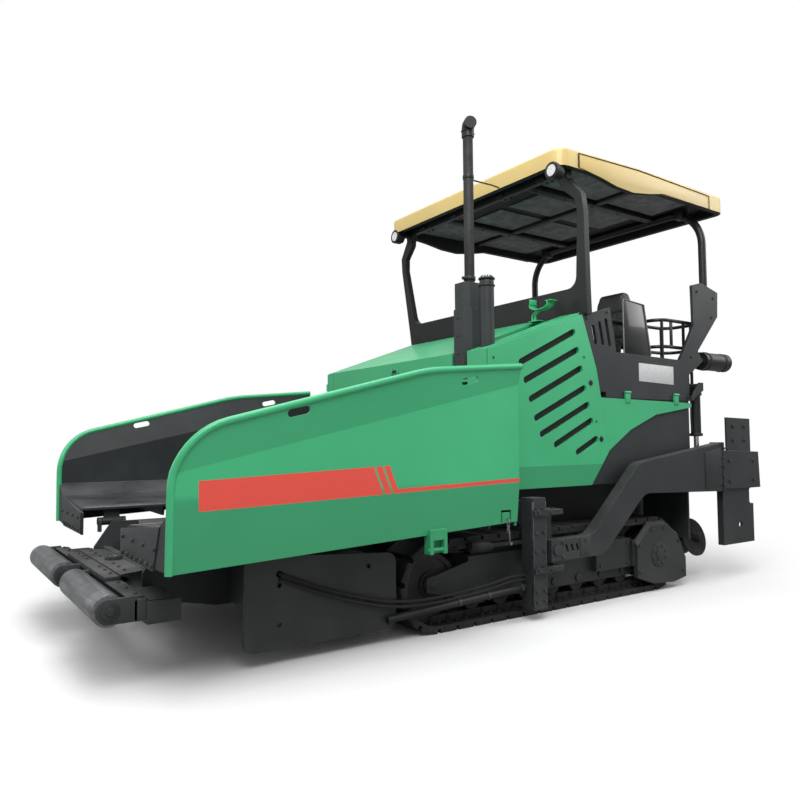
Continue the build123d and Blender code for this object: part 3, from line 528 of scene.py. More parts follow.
def pipe_curve(name, points, radius, round_steps, run_steps, smooth=True, closed=False):
    """Curve of a bent pipe or cable along points."""
    curve = bpy.data.curves.new(name, "CURVE")
    curve.dimensions = "3D"
    curve.bevel_depth = radius
    curve.bevel_resolution = round_steps
    curve.use_fill_caps = not closed
    curve.resolution_u = run_steps
    line = curve.splines.new("NURBS" if smooth else "POLY")
    line.points.add(len(points) - 1)
    for point, spot in zip(line.points, points):
        point.co = (*spot, 1.0)
    if smooth:
        line.order_u = 3
        line.use_endpoint_u = not closed
    line.use_cyclic_u = closed
    return curve


def add_pipe(bm, points, radius, sides=10, smooth=True, closed=False):
    """Add a bent pipe along points."""
    curve = pipe_curve("pipe", points, radius, max(1, sides // 4), 10, smooth, closed)
    carrier = bpy.data.objects.new("pipe", curve)
    mesh = bpy.data.meshes.new_from_object(carrier)
    bm.from_mesh(mesh)
    bpy.data.meshes.remove(mesh)
    bpy.data.objects.remove(carrier)
    bpy.data.curves.remove(curve)


def mirrored(bm):
    """Add the mirror image across the machine's middle plane."""
    bmesh.ops.mirror(bm, geom=bm.verts[:] + bm.edges[:] + bm.faces[:], matrix=Matrix(),
                     merge_dist=0.0, axis="Y")


def wing_skin(x, z):
    """Y of the wing's outer face."""
    share = (WING_X[0] - x) / (WING_X[0] - WING_X[1])
    folds = [Vector(a).lerp(Vector(b), share) for a, b in zip(*WING_SHEET)]
    for low, high in zip(folds, folds[1:]):
        if z <= high.y:
            return low.x + (high.x - low.x) * (z - low.y) / (high.y - low.y)
    return folds[-1].x


def finish_pair(name, build, body, finish, angle=35.0, node=None):
    """Build a left piece and its mirror image, each on its side's body, in place of a node if named."""
    for side, s in SIDES:
        bm = bmesh.new()
        build(bm)
        if s < 0:
            bmesh.ops.scale(bm, vec=(1, -1, 1), verts=bm.verts)
        made = finish_piece(f"{name}_{side}", bm, body.format(side=side), finish, angle)
        if node:
            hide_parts(node.format(side=side))


def finish_one(name, build, body, finish, angle=35.0, node=None, both=False):
    """Build one piece, with its mirror image if both, in place of a node if it names one."""
    bm = bmesh.new()
    build(bm)
    if both:
        mirrored(bm)
    made = finish_piece(name, bm, body, finish, angle)
    if node:
        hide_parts(node)


def finish_both(name, build, body, finish, angle=35.0, node=None):
    """Build a left piece and its mirror image as one object."""
    finish_one(name, build, body, finish, angle, node, both=True)


def rounded(corners, steps=10):
    """Outline from corners, each with its radius."""
    line = []
    for i, (a, b, radius) in enumerate(corners):
        here = Vector((a, b))
        before = (Vector(corners[i - 1][:2]) - here).normalized()
        after = (Vector(corners[(i + 1) % len(corners)][:2]) - here).normalized()
        if not radius:
            line.append(here)
            continue
        half = before.angle(after) / 2
        centre = here + (before + after).normalized() * (radius / math.sin(half))
        arm = here + before * (radius / math.tan(half)) - centre
        turn = (math.pi - 2 * half) * (1 if arm.x * -before.y + arm.y * before.x > 0 else -1)
        line += [centre + Matrix.Rotation(turn * k / steps, 2) @ arm for k in range(steps + 1)]
    return [tuple(p) for p in line]


def slot_line(centre, length, width, turn, steps=8):
    """Outline of a round-ended slot, or of a circle where its length is its width."""
    points = []
    for end in (0, 180):
        ahead = math.radians(turn + end)
        middle = Vector(centre) + Vector((math.cos(ahead), math.sin(ahead))) * (length - width) / 2
        for k in range(steps + 1):
            a = ahead + math.radians(-90 + 180 * k / steps)
            points.append(middle + Vector((math.cos(a), math.sin(a))) * width / 2)
    return [tuple(p) for p in points[: -1 if length == width else None]]


def fill_outline(bm, outline, holes, place):
    """Fill an outline with holes; place turns its two measures into a point."""
    edges = []
    for loop in (outline, *holes):
        verts = [bm.verts.new(place(a, b)) for a, b in loop]
        edges += [bm.edges.new(pair) for pair in zip(verts, verts[1:] + verts[:1])]
    made = bmesh.ops.triangle_fill(bm, edges=edges, use_beauty=True)
    return [f for f in made["geom"] if isinstance(f, bmesh.types.BMFace)]


def thicken(bm, faces, by):
    """Give a sheet of faces its thickness and return the new corners."""
    made = bmesh.ops.extrude_face_region(bm, geom=faces)
    tops = [v for v in made["geom"] if isinstance(v, bmesh.types.BMVert)]
    bmesh.ops.translate(bm, verts=tops, vec=by)
    return tops


def cut(bm, spot, across):
    """Cut every face where a plane through a spot crosses it."""
    bmesh.ops.bisect_plane(bm, geom=bm.verts[:] + bm.edges[:] + bm.faces[:], dist=0.0001, plane_co=spot,
                           plane_no=across)


def between(table, x):
    """Value read from a table of steps along X."""
    for (a, low), (b, high) in zip(table, table[1:]):
        if x >= b:
            return low + (high - low) * (a - x) / (a - b)
    return table[-1][1]


def spread(low, high, count):
    """Evenly spaced values, ends included."""
    return [low + (high - low) * i / (count - 1) for i in range(count)]


def applied(obj):
    """Mesh of an object with its modifiers applied."""
    graph = bpy.context.evaluated_depsgraph_get()
    return bpy.data.meshes.new_from_object(obj.evaluated_get(graph))


def swollen(name, build, voxel, cap, seam):
    """Mesh of a cushion: a smaller block blown up as cloth, kept within a cap, then sewn along its seams."""
    bm = bmesh.new()
    build(bm)
    bmesh.ops.recalc_face_normals(bm, faces=bm.faces)
    mesh = bpy.data.meshes.new(name)
    bm.to_mesh(mesh)
    bm.free()
    block = bpy.data.objects.new(name, mesh)
    bpy.context.collection.objects.link(block)
    remesh = block.modifiers.new("Remesh", "REMESH")
    remesh.mode = "VOXEL"
    remesh.voxel_size = voxel
    block.data = applied(block)
    block.modifiers.clear()
    rest = [v.co.copy() for v in block.data.vertices]
    cloth = block.modifiers.new("Cloth", "CLOTH")
    cloth.settings.use_pressure = True
    cloth.settings.uniform_pressure_force = 4.0
    cloth.settings.effector_weights.gravity = 0.0
    for step in range(1, 21):
        bpy.context.scene.frame_set(step)
    block.data = applied(block)
    block.modifiers.clear()
    bpy.context.scene.frame_set(1)
    for vert, start in zip(block.data.vertices, rest):
        move = vert.co - start
        if move.length > cap:
            vert.co = start + move.normalized() * cap
    for vert in block.data.vertices:
        vert.co += seam(vert.co, vert.normal)
    smooth = block.modifiers.new("Subdivision", "SUBSURF")
    smooth.levels = smooth.render_levels = 1
    made = applied(block)
    bpy.data.objects.remove(block)
    return made


def finish_cushions(name, mesh, node):
    """The cushion of the left seat and its mirror image, in place of the seats' plain node."""
    for side, s in SIDES:
        bm = bmesh.new()
        bm.from_mesh(mesh)
        bmesh.ops.scale(bm, vec=(1, s, 1), verts=bm.verts)
        pad = finish_piece(f"{name}_{side}", bm, "tractor", "vinyl", 60.0)
        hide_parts(node)


def groove(distance, depth, width):
    """How far a sewn channel sinks at a distance from its line."""
    return -depth * math.exp(-((distance / width) ** 2))


def add_ring(bm, centre, axis, radius, tube, sides=32):
    """Add a round ring."""
    turn = turn_to(axis)
    centre = Vector(centre)
    points = [centre + turn @ Vector((radius * math.cos(a), radius * math.sin(a), 0))
              for a in (2 * math.pi * i / sides for i in range(sides))]
    add_pipe(bm, points, tube, 8, smooth=False, closed=True)


# ---------------------------------------------------------------- operators
class PAVER_OT_finishes(bpy.types.Operator):
    """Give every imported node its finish."""

    bl_idname = "paver.finishes"
    bl_label = "Finishes"

    def execute(self, context):
        FINISH.update(make_materials(context.scene.paver_colours))
        for finish, names in NODE_FINISH.items():
            for name in names:
                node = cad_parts[name]
                node.data.materials.clear()
                node.data.materials.append(FINISH[finish])
        return {"FINISHED"}


class PAVER_OT_wings(bpy.types.Operator):
    """The folded hopper wings, with their rims, lip plates, wear strips and lock hooks."""

    bl_idname = "paver.wings"
    bl_label = "Hopper wings"

    rim = 0.022
    cheek = 0.028
    floor_x = (0.440, 2.874)
    tube_centre = 0.750
    tube_half = 0.075
    holes = ((2.175, 1.548), (0.877, 1.782))
    catch = ((0.502, 0.800), (0.502, 0.886), (0.598, 0.886), (0.598, 0.800), (0.584, 0.800), (0.584, 0.871),
             (0.516, 0.871), (0.516, 0.800))
    plate = 0.016
    floor = ((0.700, 0.846), (1.430, 0.905), (1.632, 1.005))
    lip_side = ((0.620, 0.668), (1.612, 0.694), (1.632, 1.021), (1.430, 0.921), (0.620, 0.838))
    rib_side = ((0.820, 0.760), (1.612, 0.770), (1.624, 1.005), (1.430, 0.909), (0.790, 0.857))
    tubes = (0.640, 1.500, 2.640)
    ribs = (0.440, 1.150, 2.200)
    eye = 1.250
    strip_y = (0.703, 0.800)
    lip_outline = ((0.63, 0.674), (1.343, 0.674), (1.452, 0.925), (0.63, 0.842))

    def execute(self, context):
        finish_pair("hopper_wing", self.wing, "wing_{side}", "liner", 8.0, "wing_{side}")
        finish_pair("wing_rim", self.rims, "wing_{side}", "green", 60.0)
        finish_pair("wing_lip_plate", self.lip, "wing_{side}", "grey")
        finish_pair("wing_lip_bolts", self.lip_bolts, "wing_{side}", "bolt")
        finish_pair("wing_wear_strip", self.strip, "wing_{side}", "worn")
        finish_pair("wing_lock_hook", self.hook, "wing_{side}", "worn")
        return {"FINISHED"}

    def wing(self, bm):
        self.sheet(bm)
        line = list(self.floor)
        add_plate(bm, line + [(y, z + self.plate) for y, z in reversed(line)], "x", *self.floor_x)
        add_plate(bm, self.lip_side, "x", WING_X[0] - self.plate, WING_X[0])
        for x in self.ribs:
            add_plate(bm, self.rib_side, "x", x, x + self.plate)
        for x in self.tubes:
            y = z = self.tube_centre
            add_rod(bm, (x - self.tube_half, y, z), (x + self.tube_half, y, z), 0.032, 32)
            add_box(bm, (x - 0.06, 0.738, 0.775), (x + 0.06, 0.762, 0.855))
        for x in (1.744, 1.836):
            add_plate(bm, ((self.eye - 0.04, 0.8), (self.eye + 0.04, 0.8), (self.eye + 0.08, 0.901),
                           (self.eye - 0.08, 0.888)), "x", x - 0.008, x + 0.008)
        start, end = CLEVIS_X
        inner, outer = start + self.cheek, end - self.cheek
        for low, high in ((start, inner), (outer, end)):
            add_box(bm, (low, 1.578, 0.64), (high, 1.648, CLEVIS_TOP), 0.004)
        add_box(bm, (inner, 1.578, 0.73), (outer, 1.648, CLEVIS_TOP), 0.003)
        add_box(bm, (inner, 1.578, 0.64), (outer, 1.600, 0.73), 0.003)
        add_rod(bm, (start - 0.008, 1.626, 0.668), (end + 0.008, 1.626, 0.668), 0.014, 20, bevel=0.002)

    def sheet(self, bm):
        holes = [slot_line(spot, 0.150, 0.046, -12) for spot in self.holes] + [self.catch]
        fill_outline(bm, rounded(WING_SIDE), holes, lambda x, z: (x, 0, z))
        for front, rear in zip(*WING_SHEET):
            across = Vector((rear[1] - front[1], 0, WING_X[0] - WING_X[1]))
            cut(bm, (WING_X[0], 0, front[1]), across)
        for x in spread(0.7, 2.6, 7):
            cut(bm, (x, 0, 0), (1, 0, 0))
        for vert in bm.verts:
            vert.co.y = wing_skin(vert.co.x, vert.co.z)
        thicken(bm, bm.faces[:], (0, -self.plate, 0))

    def rims(self, bm):
        line = rounded(WING_SIDE)
        line = [p for p in line if p[1] > 0.81 or p[0] > 2.0]
        add_pipe(bm, [(x, wing_skin(x, z) - 0.008, z) for x, z in line], self.rim, 16, smooth=False)

    def lip(self, bm):
        add_plate(bm, self.lip_outline, "x", WING_X[0], WING_X[0] + 0.008, 0.002)

    def lip_bolts(self, bm):
        for y in spread(0.70, 1.34, 7):
            add_bolt(bm, (WING_X[0] + 0.008, y, 0.705), (1, 0, 0), 0.022)
        for y in spread(0.70, 1.38, 4):
            add_bolt(bm, (WING_X[0] + 0.008, y, 0.80), (1, 0, 0), 0.022)

    def strip(self, bm):
        slope = (FLOOR_TOP[1][1] - FLOOR_TOP[0][1]) / (FLOOR_TOP[1][0] - FLOOR_TOP[0][0])
        base = [(y, FLOOR_TOP[0][1] + (y - FLOOR_TOP[0][0]) * slope) for y in self.strip_y]
        add_plate(bm, base + [(y, z + 0.005) for y, z in reversed(base)], "x", 0.46, 2.86, 0.001)

    def hook(self, bm):
        x, y = 0.540, wing_skin(0.54, 0.80) + 0.012
        add_ring(bm, (x, y, 0.806), (1, 0, 0), 0.016, 0.005)
        add_pipe(bm, [(x, y, 0.79), (x - 0.01, y + 0.004, 0.72), (x - 0.012, y, 0.66), (x - 0.03, y, 0.635),
                      (x - 0.035, y, 0.66)], 0.006, 8)
        for z in (0.775, 0.745):
            add_ring(bm, (x - 0.002, y, z), (0, 1, 0), 0.011, 0.004, 16)


class PAVER_OT_hood(bpy.types.Operator):
    """Screens behind the slots, latches, lamp bracket and exhaust fittings of the hood."""

    bl_idname = "paver.hood"
    bl_label = "Hood"

    screen = ((0.33, 1.02), (0.33, 2.04), (-0.65, 2.41), (-0.84, 1.98), (-0.95, 1.46), (-0.975, 1.27),
              (-0.77, 1.02))
    screws = ((0.329, 2.012), (0.329, 1.52), (0.329, 1.05), (-0.701, 2.075), (-0.842, 1.531), (-0.72, 1.05))

    def execute(self, context):
        finish_pair("door_screen", self.screens, "side_door_{side}", "mesh")
        finish_pair("door_screws", self.door_screws, "side_door_{side}", "bolt")
        finish_pair("door_latch", self.latch, "side_door_{side}", "black")
        finish_one("lid_latch", self.lid_latch, "hood_lid", "green")
        finish_one("lid_latch_grip", self.lid_grip, "hood_lid", "black")
        finish_one("lamp_bracket", self.bracket, "tractor", "green")
        finish_one("exhaust_clamp", self.clamp, "tractor", "black")
        finish_one("exhaust_bolts", self.clamp_bolts, "tractor", "bolt")
        finish_one("air_cleaner_bands", self.bands, "tractor", "black")
        finish_both("fender_brackets", self.fender_brackets, "tractor", "green")
        return {"FINISHED"}

    def screens(self, bm):
        add_plate(bm, self.screen, "y", HOOD_SIDE - 0.0295, HOOD_SIDE - 0.0255)

    def door_screws(self, bm):
        for x, z in self.screws:
            lean = 0.0085 if z < 1.1 else 0.0
            add_rod(bm, (x, HOOD_SIDE - lean, z), (x, HOOD_SIDE + 0.005 - lean, z), 0.010, 16, bevel=0.002)

    def latch(self, bm):
        for x, z in ((-0.78, 1.86), (-0.90, 1.38)):
            add_rod(bm, (x, HOOD_SIDE, z), (x, HOOD_SIDE + 0.006, z), 0.024, 24, bevel=0.002)
            add_box(bm, (x - 0.005, HOOD_SIDE + 0.004, z - 0.018), (x + 0.005, HOOD_SIDE + 0.011, z + 0.018),
                    0.002)

    def lid_latch(self, bm):
        add_box(bm, (0.372, -0.055, 1.975), (0.382, 0.055, 2.032), 0.003)
        for y in (-0.03, 0.03):
            add_rod(bm, (0.374, y - 0.006, 2.036), (0.374, y + 0.006, 2.036), 0.012, 16)

    def lid_grip(self, bm):
        add_box(bm, (0.380, -0.035, 1.990), (0.386, 0.035, 2.018), 0.003)

    def bracket(self, bm):
        x, y, z = -0.585, 0.945, 2.560
        band = [(y + 0.112 * math.cos(a), z + 0.048 * math.sin(a)) for a in
                (math.radians(d) for d in spread(152, 388, 18))]
        inner = [(y + 0.102 * math.cos(a), z + 0.038 * math.sin(a)) for a in
                 (math.radians(d) for d in spread(388, 152, 18))]
        add_plate(bm, band + inner, "x", x, x + 0.085, 0.002)
        add_box(bm, (x, y + 0.085, z + 0.016), (x + 0.085, y + 0.150, z + 0.024), 0.002)
        add_box(bm, (x, y - 0.104, z + 0.018), (x + 0.085, y - 0.094, z + 0.060), 0.002)
        leg = [(x + 0.045, y - a, z - b) for a, b in
               ((0.030, 0.044), (0.085, 0.060), (0.115, 0.100), (0.095, 0.145))]
        for lean in (0.0, 0.034):
            add_pipe(bm, [(a, b + lean, c) for a, b, c in leg], 0.010, 10)
        add_box(bm, (x - 0.005, y - 0.112, 2.414), (x + 0.095, y + 0.008, 2.423), 0.002)

    def clamp(self, bm):
        x, y = EXHAUST
        add_rod(bm, (x, y, 2.690), (x, y, 2.722), 0.050, 32, bevel=0.003)
        add_box(bm, (x + 0.045, y - 0.012, 2.694), (x + 0.075, y + 0.012, 2.718), 0.002)
        outlet = [(x, y, 3.900), (x, y, 3.990), (x + 0.01, y + 0.03, 4.000), (x + 0.03, y + 0.075, 4.000)]
        add_pipe(bm, outlet, 0.052, 24)
        add_pipe(bm, [(x - 0.03, y - 0.03, 3.56), (-0.20, 0.70, 3.64), (-0.444, 0.53, 3.715)], 0.007, 8,
                 smooth=False)
        add_rod(bm, (x, y, 3.545), (x, y, 3.575), 0.047, 32, bevel=0.002)

    def clamp_bolts(self, bm):
        x, y = EXHAUST
        add_rod(bm, (x + 0.062, y - 0.024, 2.706), (x + 0.062, y + 0.024, 2.706), 0.004, 12)
        add_bolt(bm, (x + 0.062, y + 0.012, 2.706), (0, 1, 0), 0.012)
        for z in spread(1.93, 2.37, 4):
            add_bolt(bm, (0.362, y, z), (1, 0, 0), 0.014)

    def bands(self, bm):
        x, y = 0.240, 1.110
        for z in (2.60, 2.655):
            add_rod(bm, (x, y, z), (x, y, z + 0.012), 0.067, 32, bevel=0.003)
        for i in range(12):
            turn = math.radians(30 * i)
            arm = Vector((math.cos(turn), math.sin(turn), 0))
            foot = Vector((x, y, 2.665)) + arm * 0.062
            top = Vector((x, y, 2.688)) + arm * 0.036
            add_pipe(bm, [foot, top], 0.004, 8, smooth=False)

    def fender_brackets(self, bm):
        for x in (-1.285, -2.005):
            add_box(bm, (x - 0.032, 1.250, 1.700), (x + 0.032, 1.272, 1.795), 0.004)
            add_rod(bm, (x - 0.038, 1.268, 1.795), (x + 0.038, 1.268, 1.795), 0.011, 16, bevel=0.002)


class PAVER_OT_canopy(bpy.types.Operator):
    """Roof, front frame, lamps, lining panels, beams and bolts of the canopy."""

    bl_idname = "paver.canopy"
    bl_label = "Canopy"

    roof_x = (-2.924, -0.444)
    roof_y = 1.280
    blank_height = 0.150
    skirt_plate = 0.060
    side = ((-0.68, 3.715, 0), (-0.68, 3.836, 0), (-1.50, 3.859, 0), (-2.62, 3.833, 0), (-2.62, 3.701, 0),
            (-1.86, 3.709, 0.12), (-1.64, 3.665, 0.2), (-1.41, 3.633, 0.2), (-1.18, 3.645, 0.2),
            (-0.96, 3.683, 0.2))
    frame_foot = Vector((-0.800, 0, 2.4703))
    frame_up = Vector((0.0995, 0, 0.995))
    frame_side = ((1.290, -0.02), (1.300, 0.18), (1.345, 0.86), (1.335, 1.01), (1.200, 1.18), (1.200, 1.321))
    frame_hole = ((1.190, 0.23, 0.11), (1.275, 0.86, 0), (1.255, 0.985, 0), (1.120, 1.11, 0),
                  (1.080, 1.23, 0))

    def execute(self, context):
        finish_one("canopy_roof", self.roof, "tractor", "cream", 35.0, "canopy")
        finish_one("canopy_frame", self.frame, "tractor", "black", 35.0, "canopy_front_frame")
        finish_both("canopy_lamp_pots", self.pots, "tractor", "black", 35.0, "canopy_lamps")
        finish_both("canopy_gaskets", self.gaskets, "tractor", "rubber")
        finish_both("canopy_lenses", self.lenses, "tractor", "lens")
        finish_both("canopy_bezels", self.bezels, "tractor", "rubber")
        finish_both("canopy_lining", self.lining, "tractor", "panel")
        finish_both("canopy_beams", self.beams, "tractor", "black")
        finish_both("canopy_bolts", self.bolts, "tractor", "bolt")
        return {"FINISHED"}

    def roof(self, bm):
        rear, front = self.roof_x
        corners = [(x, s * self.roof_y, 0.12) for x, s in ((front, -1), (front, 1), (rear, 1), (rear, -1))]
        low = bm.faces.new([bm.verts.new((x, y, CANOPY_SKIRT)) for x, y in rounded(corners)])
        thicken(bm, [low], (0, 0, self.blank_height))
        bmesh.ops.inset_region(bm, faces=[low], thickness=self.skirt_plate)
        thicken(bm, [low], (0, 0, CANOPY_LINING + 0.001 - CANOPY_SKIRT))
        if low.is_valid:
            bm.faces.remove(low)
        cut(bm, (CANOPY_CROWN[1][0], 0, 0), (1, 0, 0))
        high = CANOPY_LINING + 0.01
        for vert in bm.verts:
            if vert.co.z > high:
                vert.co.z = between(CANOPY_CROWN, vert.co.x)
        rim = [e for e in bm.edges if min(v.co.z for v in e.verts) > high
               and any(abs(f.normal.z) < 0.5 for f in e.link_faces)]
        soften(bm, rim, 0.026, 4)
        for s in (-1, 1):
            low, high = sorted((s * 1.236, s * 1.288))
            add_plate(bm, rounded(self.side, 5), "y", low, high, 0.006)

    def gaskets(self, bm):
        line = [(x, 1.286, z) for x, z, _ in self.side[:5]]
        add_pipe(bm, line, 0.007, 8, smooth=False)

    def frame(self, bm):
        def place(y, up):
            return self.frame_foot + self.frame_up * up + Vector((0, y, 0))
        left = list(self.frame_side)
        hole = list(self.frame_hole)
        ring = left + [(-y, up) for y, up in reversed(left)]
        inner = hole + [(-y, up, r) for y, up, r in reversed(hole)]
        faces = fill_outline(bm, ring, [rounded(inner, 8)], place)
        thicken(bm, faces, Vector((0.0597, 0, -0.00597)))

    def pots(self, bm):
        x, y, z = LAMP
        add_rod(bm, (x - 0.090, y, z), (x - 0.002, y, z), 0.062, 40, bevel=0.004)
        add_rod(bm, (x - 0.060, y, z), (x + 0.0125, y, z), 0.074, 40)

    def lenses(self, bm):
        x, y, z = LAMP
        add_rod(bm, (x + 0.010, y, z), (x + 0.016, y, z), 0.054, 32, 0.048)
        x, y, z = WORK_LIGHT
        add_rod(bm, (x + 0.004, y, z), (x - 0.004, y, z), 0.080, 40, 0.072)

    def bezels(self, bm):
        x, y, z = LAMP
        add_ring(bm, (x + 0.014, y, z), (1, 0, 0), 0.058, 0.006)
        x, y, z = WORK_LIGHT
        add_ring(bm, (x - 0.002, y, z), (1, 0, 0), 0.086, 0.008)
        for along in (0.06, 0.34):
            add_rod(bm, (x + along, y, z), (x + along + 0.03, y, z), 0.095, 40, bevel=0.004)

    def lining(self, bm):
        for low, high in (((-2.50, 0.69), (-1.74, 1.19)), ((-1.62, 0.69), (-0.80, 1.19)),
                          ((-2.42, 0.06), (-1.76, 0.52)), ((-1.62, 0.06), (-1.02, 0.52))):
            add_box(bm, (*low, CANOPY_LINING - 0.014), (*high, CANOPY_LINING - 0.002), 0.005)

    def beams(self, bm):
        add_box(bm, (-2.58, 0.56, CANOPY_LINING - 0.050), (-0.74, 0.65, CANOPY_LINING - 0.001), 0.006)
        add_box(bm, (-1.72, 0.0, CANOPY_LINING - 0.040), (-1.64, 1.215, CANOPY_LINING - 0.001), 0.006)
        add_box(bm, (-0.72, 0.0, CANOPY_LINING - 0.045), (-0.64, 1.10, CANOPY_LINING - 0.001), 0.006)
        add_box(bm, (-2.69, 0.90, CANOPY_LINING - 0.100), (-2.59, 1.00, CANOPY_LINING - 0.001), 0.004)
        for y in (0.30, 0.84):
            add_box(bm, (-0.74, y, CANOPY_LINING - 0.085), (-0.60, y + 0.10, CANOPY_LINING - 0.001), 0.004)

    def bolts(self, bm):
        for x, y in ((-0.70, 0.35), (-0.70, 0.89), (-0.63, 0.35), (-0.63, 0.89)):
            add_bolt(bm, (x, y, CANOPY_LINING - 0.085), (0, 0, -1), 0.022)
        for x in spread(-2.45, -0.85, 5):
            add_bolt(bm, (x, 0.605, CANOPY_LINING - 0.050), (0, 0, -1), 0.018)


class PAVER_OT_tracks(bpy.types.Operator):
    """Pins, shoe bolts, hubs and guards of the crawler tracks."""

    bl_idname = "paver.tracks"
    bl_label = "Crawler tracks"

    chain = 0.289
    shoe_inside = 0.276
    pad_middle = 0.3185
    pad_half = (0.070, 0.0085)
    guard_face = 1.292

    def execute(self, context):
        finish_both("track_pins", self.pins, "tractor", "cast")
        finish_both("track_shoe_bolts", self.shoe_bolts, "tractor", "bolt")
        finish_both("track_pads", self.pads, "tractor", "rubber")
        finish_both("track_hubs", self.hubs, "tractor", "grey")
        finish_both("track_bolts", self.bolts, "tractor", "bolt")
        return {"FINISHED"}

    def along(self, step, radius):
        """Place and heading of a spot on the loop, by its number from the rear of the lower run."""
        straight = TRACK_X[1] - TRACK_X[0]
        turn = math.pi * self.chain
        at = (step % SHOE_COUNT) / SHOE_COUNT * (2 * straight + 2 * turn)
        if at < straight:
            return Vector((TRACK_X[0] + at, 0, TRACK_RADIUS - radius)), 0.0
        at -= straight
        if at < turn:
            a = at / self.chain
            return Vector((TRACK_X[1] + radius * math.sin(a), 0, TRACK_RADIUS - radius * math.cos(a))), a
        at -= turn
        if at < straight:
            return Vector((TRACK_X[1] - at, 0, TRACK_RADIUS + radius)), math.pi
        a = (at - straight) / self.chain
        spot = Vector((TRACK_X[0] - radius * math.sin(a), 0, TRACK_RADIUS + radius * math.cos(a)))
        return spot, math.pi + a

    def pins(self, bm):
        for i in range(SHOE_COUNT):
            spot, _ = self.along(i, LINK_RADIUS)
            for y, width, radius, sides in ((-0.075, 0.150, 0.017, 12), (-0.068, 0.008, 0.030, 16),
                                            (0.060, 0.008, 0.030, 16)):
                start = spot + Vector((0, TRACK_Y + y, 0))
                add_rod(bm, start, start + Vector((0, width, 0)), radius, sides)

    def shoe_bolts(self, bm):
        for i in range(SHOE_COUNT):
            for side in (-0.25, 0.25):
                spot, turn = self.along(i + 0.5 + side, self.shoe_inside)
                inward = Vector((-math.sin(turn), 0, math.cos(turn)))
                for y in (-0.095, 0.095):
                    seat = spot + Vector((0, TRACK_Y + y, 0))
                    add_rod(bm, seat, seat + inward * 0.012, 0.012, 6)

    def pads(self, bm):
        for i in range(SHOE_COUNT):
            spot, turn = self.along(i + 0.5, self.pad_middle)
            ahead = Vector((math.cos(turn), 0, math.sin(turn))) * self.pad_half[0]
            out = Vector((math.sin(turn), 0, -math.cos(turn))) * self.pad_half[1]
            corners = [spot + ahead * a + out * b for a, b in ((-1, -1), (1, -1), (1, 1), (-1, 1))]
            for y in (-0.161, 0.157):
                add_plate(bm, [(c.x, c.z) for c in corners], "y", TRACK_Y + y, TRACK_Y + y + 0.004)

    def hubs(self, bm):
        rear, front = TRACK_X
        face = self.guard_face
        y, z = TRACK_Y, TRACK_RADIUS
        add_rod(bm, (front, y + 0.05, z), (front, y + 0.085, z), 0.075, 40, 0.062, 0.004)
        add_rod(bm, (front, y + 0.08, z), (front, y + 0.10, z), 0.035, 32, bevel=0.004)
        for x in spread(-1.26, 0.47, 7):
            add_rod(bm, (x, y + 0.095, 0.213), (x, y + 0.107, 0.213), 0.034, 24, bevel=0.003)
        add_rod(bm, (rear, face, z), (rear, face + 0.008, z), 0.110, 48, bevel=0.003)
        add_rod(bm, (rear, face + 0.008, z), (rear, face + 0.017, z), 0.050, 32, bevel=0.003)

    def bolts(self, bm):
        for i in range(8):
            a = math.radians(45 * i + 22.5)
            x, z = TRACK_X[0] + 0.085 * math.cos(a), TRACK_RADIUS + 0.085 * math.sin(a)
            add_bolt(bm, (x, self.guard_face + 0.008, z), (0, 1, 0), 0.018)
        for x, z in ((-1.36, 0.20), (-1.36, 0.43), (-1.54, 0.56), (-1.72, 0.56), (-1.93, 0.43),
                     (-2.00, 0.15)):
            add_bolt(bm, (x, self.guard_face, z), (0, 1, 0), 0.022)
        for x in (-1.26, -0.90):
            for z in (0.29, 0.46):
                add_bolt(bm, (x, 1.236, z), (0, 1, 0), 0.022)


